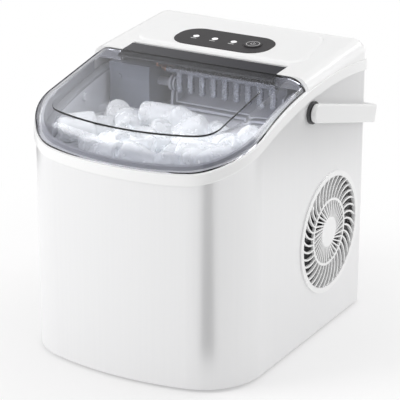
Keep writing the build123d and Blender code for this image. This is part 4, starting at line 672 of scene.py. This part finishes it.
class ICEMAKER_OT_controls(bpy.types.Operator):
    """Finish the control panel, its lenses and its button"""

    bl_idname = "icemaker.controls"
    bl_label = "Controls"

    def execute(self, context):
        tones = context.scene.icemaker_tones
        dress(finish("fascia_gloss", "moulded", tones.fascia, 0.4, mottle=0.05,
                     Specular_IOR_Level=0.2),
              "control_fascia", "power_button")
        dress(finish("lamp_lens", "moulded", tones.lamp, 0.25, Emission_Color=(1, 1, 1, 1),
                     Emission_Strength=0.25),
              "indicator_lenses")
        return {"FINISHED"}


SIGN_BAR = 1.2  # length of the power sign's bar, in radii of the sign
SIGN_BAR_OUT = 0.75  # from the sign's middle to the bar's, in radii
RING_SIDES = 64
BAR_ROUND = 0.45  # rounding of a bar's ends, in widths


class ICEMAKER_OT_marks(bpy.types.Operator):
    """Print a ring and a power sign on the button, and a dash by each lens"""

    bl_idname = "icemaker.marks"
    bl_label = "Printed Marks"

    def execute(self, context):
        values = context.scene.icemaker_marks
        ink = finish("mark_print", "moulded", context.scene.icemaker_tones.mark, 0.55, mottle=0.08)
        bar = self.bar(values.line, values.sign * SIGN_BAR, values.film)
        bar.location.y = values.sign * SIGN_BAR_OUT
        outer = self.ring(values, values.ring, 0)
        sign = join([outer, self.ring(values, values.sign, values.gap), bar])
        sign.matrix_world = top_plane("power_button")
        keep(sign, "power_mark", "button", ink)
        low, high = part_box("indicator_lenses")
        lens = (high.y - low.y) / 2
        plane = top_plane("control_fascia")
        middle = plane.translation
        drop = (low.y + high.y) / 2 - middle.y - values.dash_drop
        dashes = []
        for x in (low.x + lens, (low.x + high.x) / 2, high.x - lens):
            dash = self.bar(values.dash, values.dash_line, values.film)
            offset = Vector((x - middle.x, drop, 0))
            dash.matrix_world = plane @ Matrix.Translation(offset)
            dashes.append(dash)
        keep(join(dashes), "lens_marks", "cabinet", ink)
        return {"FINISHED"}

    def ring(self, values, radius, gap):
        """A thin printed ring, open at its far side by twice the gap."""
        deselect()
        bpy.ops.mesh.primitive_circle_add(vertices=RING_SIDES, radius=radius, fill_type="NOTHING")
        ring = bpy.context.object
        bpy.ops.object.mode_set(mode="EDIT")
        bpy.ops.mesh.select_mode(type="EDGE")
        bpy.ops.mesh.select_all(action="SELECT")
        bpy.ops.mesh.extrude_region_move()
        inner = 1 - values.line / radius
        bpy.ops.transform.resize(value=(inner, inner, 1))
        bpy.ops.mesh.select_mode(type="FACE")
        bpy.ops.mesh.select_all(action="DESELECT")
        bpy.ops.object.mode_set(mode="OBJECT")
        for face in ring.data.polygons:
            face.select = abs(math.atan2(face.center.x, face.center.y)) < gap
        bpy.ops.object.mode_set(mode="EDIT")
        bpy.ops.mesh.delete(type="FACE")
        bpy.ops.mesh.select_all(action="SELECT")
        bpy.ops.mesh.normals_make_consistent()
        bpy.ops.object.mode_set(mode="OBJECT")
        apply_modifier(ring, "SOLIDIFY", thickness=values.film, offset=0)
        return ring

    def bar(self, length, width, film):
        """A thin printed bar with round ends."""
        deselect()
        bpy.ops.mesh.primitive_plane_add(size=1)
        bar = bpy.context.object
        bpy.ops.object.mode_set(mode="EDIT")
        bpy.ops.transform.resize(value=(length, width, 1))
        bpy.ops.mesh.bevel(offset=min(length, width) * BAR_ROUND, segments=4, affect="VERTICES")
        bpy.ops.object.mode_set(mode="OBJECT")
        apply_modifier(bar, "SOLIDIFY", thickness=film, offset=0)
        return bar


SCREW_SIDES = 20
SCREW_TURN = 0.7  # from one screw's cross to the next one's, in radians
HEAD_ROUND = 0.4  # rounding of a head, in its heights
SCREW_SMOOTH = math.radians(35)


class ICEMAKER_OT_screws(bpy.types.Operator):
    """Put cross-recessed screws in the rear panel"""

    bl_idname = "icemaker.screws"
    bl_label = "Rear Panel Screws"

    def execute(self, context):
        values = context.scene.icemaker_screws
        low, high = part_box("rear_panel_screws")
        screw = self.screw(values, high.y - low.y)
        backward = Matrix.Rotation(-math.pi / 2, 4, "X")
        copies = []
        for row in range(values.rows):
            share = row / (values.rows - 1)
            z = (low.z + values.head) * (1 - share) + (high.z - values.head) * share
            for x in (low.x + values.head, high.x - values.head):
                spin = Matrix.Rotation(SCREW_TURN * len(copies), 4, "Z")
                place = Matrix.Translation((x, high.y, z)) @ backward @ spin
                copies.append(place_copy(screw, "screw", place))
        bpy.data.objects.remove(screw)
        steel = bpy.data.materials["plated_steel"]
        piece = keep(join(copies), "panel_screws", "cabinet", steel)
        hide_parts("rear_panel_screws")
        bpy.ops.object.shade_smooth_by_angle(angle=SCREW_SMOOTH)
        return {"FINISHED"}

    def screw(self, values, length):
        """One screw with its top at the origin: a rounded head with a cross cut in, and a shank."""
        deselect()
        bpy.ops.mesh.primitive_cylinder_add(vertices=SCREW_SIDES, radius=values.head,
                                            depth=values.rise, location=(0, 0, -values.rise / 2))
        screw = bpy.context.object
        bpy.ops.object.transform_apply(location=True)
        bpy.ops.object.mode_set(mode="EDIT")
        bpy.ops.mesh.select_mode(type="FACE")
        select_end(screw.data, -1)
        bpy.ops.mesh.inset(thickness=values.head - values.shank)
        shank = (0, 0, values.rise - length)
        bpy.ops.mesh.extrude_region_move(TRANSFORM_OT_translate={"value": shank})
        select_end(screw.data, 1)
        bpy.ops.mesh.bevel(offset=values.rise * HEAD_ROUND, segments=3, affect="EDGES")
        bpy.ops.object.mode_set(mode="OBJECT")
        for sides in ((values.slot, values.cut), (values.cut, values.slot)):
            bpy.ops.mesh.primitive_cube_add(size=1, scale=(*sides, values.depth * 2))
            bar = bpy.context.object
            apply_modifier(screw, "BOOLEAN", operation="DIFFERENCE", object=bar, solver="EXACT")
            bpy.data.objects.remove(bar)
        return screw


class ICEMAKER_OT_bin(bpy.types.Operator):
    """Finish the liner, basket, sensors and float"""

    bl_idname = "icemaker.bin"
    bl_label = "Bin and Tank"

    def execute(self, context):
        tones = context.scene.icemaker_tones
        dress(finish("liner_gloss", "moulded", tones.liner, 0.3),
              "inner_liner", "drain_pipe", "bin_sensors")
        dress(finish("bezel_grey", "moulded", tones.bezel, 0.2, Coat_Weight=0.4), "bin_bezel")
        dress(finish("basket_satin", "moulded", tones.basket, 0.4), "ice_basket")
        dress(finish("float_satin", "moulded", tones.trim, 0.5),
              "tank_float", "float_stem", "pump_impeller")
        dress(finish("foam_beads", "moulded", tones.foam, 0.9, mottle=0.1, grain=260.0,
                     relief=0.0004),
              "tank_foam")
        dress(finish("silicone_milky", "moulded", tones.silicone, 0.5),
              "intake_hose", "delivery_hose", "drain_plug")
        return {"FINISHED"}


class ICEMAKER_OT_ice_works(bpy.types.Operator):
    """Finish the evaporator, tray, shovel and tray drive"""

    bl_idname = "icemaker.ice_works"
    bl_label = "Ice Works"

    def execute(self, context):
        tones = context.scene.icemaker_tones
        dress(finish("nickel_frosted", "drawn_metal", tones.nickel, 0.25, mottle=0.2,
                     unevenness=0.3, grain=700.0, relief=0.00002, Metallic=1.0),
              "evaporator")
        dress(finish("tray_satin", "moulded", tones.tray, 0.4), "water_tray", "ice_shovel")
        dress(finish("slate_satin", "moulded", tones.slate, 0.4), "drive_cover", "tray_bearing")
        return {"FINISHED"}


class ICEMAKER_OT_cold_side(bpy.types.Operator):
    """Finish the compressor, condenser, fan, lines, pump and boards"""

    bl_idname = "icemaker.cold_side"
    bl_label = "Cooling and Pump"

    def execute(self, context):
        tones = context.scene.icemaker_tones
        dress(finish("copper_tube", "drawn_metal", tones.copper, 0.3, mottle=0.3, Metallic=1.0),
              "condenser_coil", "discharge_line", "liquid_line", "filter_drier", "suction_line",
              "capillary_line")
        dress(finish("fin_sheet", "drawn_metal", tones.aluminium, 0.35, mottle=0.12, Metallic=1.0),
              "condenser_fins")
        dress(finish("can_black", "moulded", tones.black, 0.35, mottle=0.3, relief=0.00002),
              "compressor")
        dress(finish("motor_black", "moulded", tones.boss, 0.5),
              "tray_motor", "fan_motor", "fan_rotor", "water_pump")
        dress(finish("zinc_sheet", "drawn_metal", tones.zinc, 0.4, mottle=0.3, grain=120.0,
                     Metallic=1.0),
              "fan_frame")
        dress(finish("board_green", "moulded", tones.board, 0.4, mottle=0.3),
              "main_board", "control_board")
        return {"FINISHED"}


BULLET_SIDES = 10
BULLET_RIM = 0.2  # outer ring of the open end, in radii, which subdivision rounds
HOLLOW_WALL = 0.75  # where the rounded end of the hollow starts, as a share of its depth
HOLLOW_TAPER = 0.8  # share of its width that is left there
HOLLOW_ROUND = 0.18  # rounding of the hollow's end, in its widths
DOME_STEPS = ((0.12, 0.06), (0.45, 0.05))  # closed end: steps in, in radii, and down, in lengths
BALL_OUT = 0.2  # two balls stand for a bullet in the heap, this far from its middle, in lengths
UPRIGHT = 0.7  # spread of a bullet's upward lean, where 1 would turn it all ways alike
SWELLS = ((0.9, 1.06), (0.9, 1.06), (0.88, 1.08))  # least and most growth, twice across and along
WALL_ROOM = 1.02  # room between a ball's middle and the basket's wall, in radii
ICE_FILM = (0.86, 0.88, 0.9)  # tint of the lamps' light through the ice
ICE_SMOOTH = math.radians(60)


class ICEMAKER_OT_ice(bpy.types.Operator):
    """Fill the basket with a heap of hollow bullets of ice"""

    bl_idname = "icemaker.ice"
    bl_label = "Bullet Ice"

    def execute(self, context):
        values = context.scene.icemaker_ice
        chance = random.Random(values.seed)
        bullet = self.bullet(values)
        copies = []
        for centre, axis, swell in self.heap(values, chance):
            spin = Matrix.Rotation(chance.uniform(0, math.tau), 4, "Z")
            lean = axis.to_track_quat("Z", "Y").to_matrix().to_4x4()
            place = Matrix.Translation(centre) @ lean @ spin @ Matrix.Diagonal((*swell, 1))
            copies.append(place_copy(bullet, "bullet", place))
        bpy.data.objects.remove(bullet)
        tones = context.scene.icemaker_tones
        # The faint glow in the ice's own colour is painted light: it stands in for light scattered
        # inside the ice.
        clear = finish("bullet_ice", "ice_cloud", tones.ice, 0.08, unevenness=0.3, grain=330.0,
                       relief=0.0002, Transmission_Weight=0.5, IOR=1.31,
                       Emission_Color=(*tones.ice, 1), Emission_Strength=0.04)
        let_lamps_through(clear, ICE_FILM)
        keep(join(copies), "bullet_ice", "basket", clear)
        bpy.ops.object.shade_smooth_by_angle(angle=ICE_SMOOTH)
        return {"FINISHED"}

    def bullet(self, values):
        """One hollow bullet: a straight wall, a domed closed end and a deep tapered hollow."""
        deselect()
        radius = values.diameter / 2
        bpy.ops.mesh.primitive_cylinder_add(vertices=BULLET_SIDES, radius=radius,
                                            depth=values.height)
        bullet = bpy.context.object
        mesh = bullet.data
        bpy.ops.object.mode_set(mode="EDIT")
        bpy.ops.mesh.select_mode(type="FACE")
        select_end(mesh, 1)
        bpy.ops.mesh.inset(thickness=radius * BULLET_RIM)
        bpy.ops.mesh.inset(thickness=radius * (1 - BULLET_RIM) - values.hole / 2)
        wall = (0, 0, -values.depth * HOLLOW_WALL)
        bpy.ops.mesh.extrude_region_move(TRANSFORM_OT_translate={"value": wall})
        bpy.ops.transform.resize(value=(HOLLOW_TAPER, HOLLOW_TAPER, 1))
        bpy.ops.mesh.inset(thickness=values.hole * HOLLOW_ROUND)
        bpy.ops.transform.translate(value=(0, 0, -values.depth * (1 - HOLLOW_WALL)))
        select_end(mesh, -1)
        for inward, down in DOME_STEPS:
            bpy.ops.mesh.inset(thickness=radius * inward)
            bpy.ops.transform.translate(value=(0, 0, -values.height * down))
        bpy.ops.object.mode_set(mode="OBJECT")
        apply_modifier(bullet, "SUBSURF", levels=1, render_levels=1)
        return bullet

    def heap(self, values, chance):
        """Places, directions and swellings of the bullets, each dropped as low as it will go."""
        low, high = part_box("ice_basket")
        lid_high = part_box("lid_shell")[1]
        radius = values.diameter / 2
        reach = (values.spacing * radius) ** 2
        half = high.x - values.wall
        rear = high.y - values.wall
        bow_y = low.y + values.wall + values.bow
        corner_x = half - values.corner
        corner_y = bow_y - math.sqrt((values.bow - values.corner) ** 2 - corner_x ** 2)
        floor = low.z + values.floor
        under = lid_high.z - values.lid - values.headroom
        balls, places = [], []

        def offsets(axis):
            """From a bullet's middle to its two balls."""
            return [axis * (values.height * BALL_OUT * end) for end in (-1, 1)]

        def inside(point):
            """True if a ball fits between the basket's walls, or the bin's above its rim."""
            room = radius * WALL_ROOM
            if point.z - high.z > radius / 2:
                room -= values.spill
            if abs(point.x) > half - room or point.y > rear - radius:
                return False
            if math.hypot(point.x, point.y - bow_y) > values.bow - room and point.y < corner_y:
                return False
            if abs(point.x) > corner_x and point.y < corner_y:
                out = math.hypot(abs(point.x) - corner_x, point.y - corner_y)
                return out < values.corner - room
            return True

        def drop(flat, offset):
            """The lowest height of a bullet's middle at which a ball of it meets floor or ball."""
            height = floor + radius - offset.z
            x, y = flat.x + offset.x, flat.y + offset.y
            for ball in balls:
                gap = (x - ball.x) ** 2 + (y - ball.y) ** 2
                if gap < reach:
                    height = max(height, ball.z + math.sqrt(reach - gap) - offset.z)
            return height

        def too_high(centre, axis):
            """True if a bullet stands above the heap or too near the closed lid."""
            rise = abs(axis.z)
            top = centre.z + rise * values.height / 2 + radius * math.sqrt(1 - rise ** 2)
            return top > min(values.heap, under + values.slope * (centre.y - radius - lid_high.y))

        misses = 0
        while misses < values.misses:
            best = None
            for _ in range(values.tries):
                lean = (chance.gauss(0, 1), chance.gauss(0, 1), chance.gauss(0, UPRIGHT))
                axis = Vector(lean).normalized()
                swell = [chance.uniform(least, most) for least, most in SWELLS]
                flat = Vector((chance.uniform(-half, half), chance.uniform(low.y, rear), 0))
                height = max(drop(flat, offset) for offset in offsets(axis))
                centre = Vector((flat.x, flat.y, height))
                fits = all(inside(centre + offset) for offset in offsets(axis))
                if fits and (best is None or height < best[0].z):
                    best = (centre, axis, swell)
            if best is None or too_high(best[0], best[1]):
                misses += 1
                continue
            places.append(best)
            balls += [best[0] + offset for offset in offsets(best[1])]
        return places


class ICEMAKER_PT_panel(bpy.types.Panel):
    """Buttons and values of the ice maker"""

    bl_idname = "ICEMAKER_PT_panel"
    bl_label = "Ice Maker"
    bl_space_type = "VIEW_3D"
    bl_region_type = "UI"
    bl_category = "Ice Maker"

    def draw(self, context):
        for operator in OPERATORS:
            self.layout.operator(operator.bl_idname)
        for label, kind in VALUES.items():
            for name in kind.__annotations__:
                self.layout.prop(getattr(context.scene, label), name)


OPERATORS = (
    ICEMAKER_OT_surfaces, ICEMAKER_OT_studio, ICEMAKER_OT_outside, ICEMAKER_OT_lid,
    ICEMAKER_OT_controls, ICEMAKER_OT_marks, ICEMAKER_OT_screws, ICEMAKER_OT_bin,
    ICEMAKER_OT_ice_works, ICEMAKER_OT_cold_side, ICEMAKER_OT_ice,
)
VALUES = {
    "icemaker_studio": StudioValues,
    "icemaker_tones": FinishTones,
    "icemaker_ice": IceValues,
    "icemaker_marks": MarkValues,
    "icemaker_screws": ScrewValues,
}
CLASSES = (*VALUES.values(), *OPERATORS, ICEMAKER_PT_panel)


def register():
    """Register the classes and hang their values on the scene."""
    for item in CLASSES:
        bpy.utils.register_class(item)
    for label, kind in VALUES.items():
        setattr(bpy.types.Scene, label, PointerProperty(type=kind))


def unregister():
    """Take the values and classes away again."""
    for label in VALUES:
        delattr(bpy.types.Scene, label)
    for item in reversed(CLASSES):
        bpy.utils.unregister_class(item)


def main():
    """Dress the machine, piece by piece."""
    register()
    bpy.ops.icemaker.surfaces()
    bpy.ops.icemaker.studio()
    bpy.ops.icemaker.outside()
    bpy.ops.icemaker.lid()
    bpy.ops.icemaker.controls()
    bpy.ops.icemaker.marks()
    bpy.ops.icemaker.screws()
    bpy.ops.icemaker.bin()
    bpy.ops.icemaker.ice_works()
    bpy.ops.icemaker.cold_side()
    bpy.ops.icemaker.ice()
    deselect()


if __name__ == "__main__":
    main()
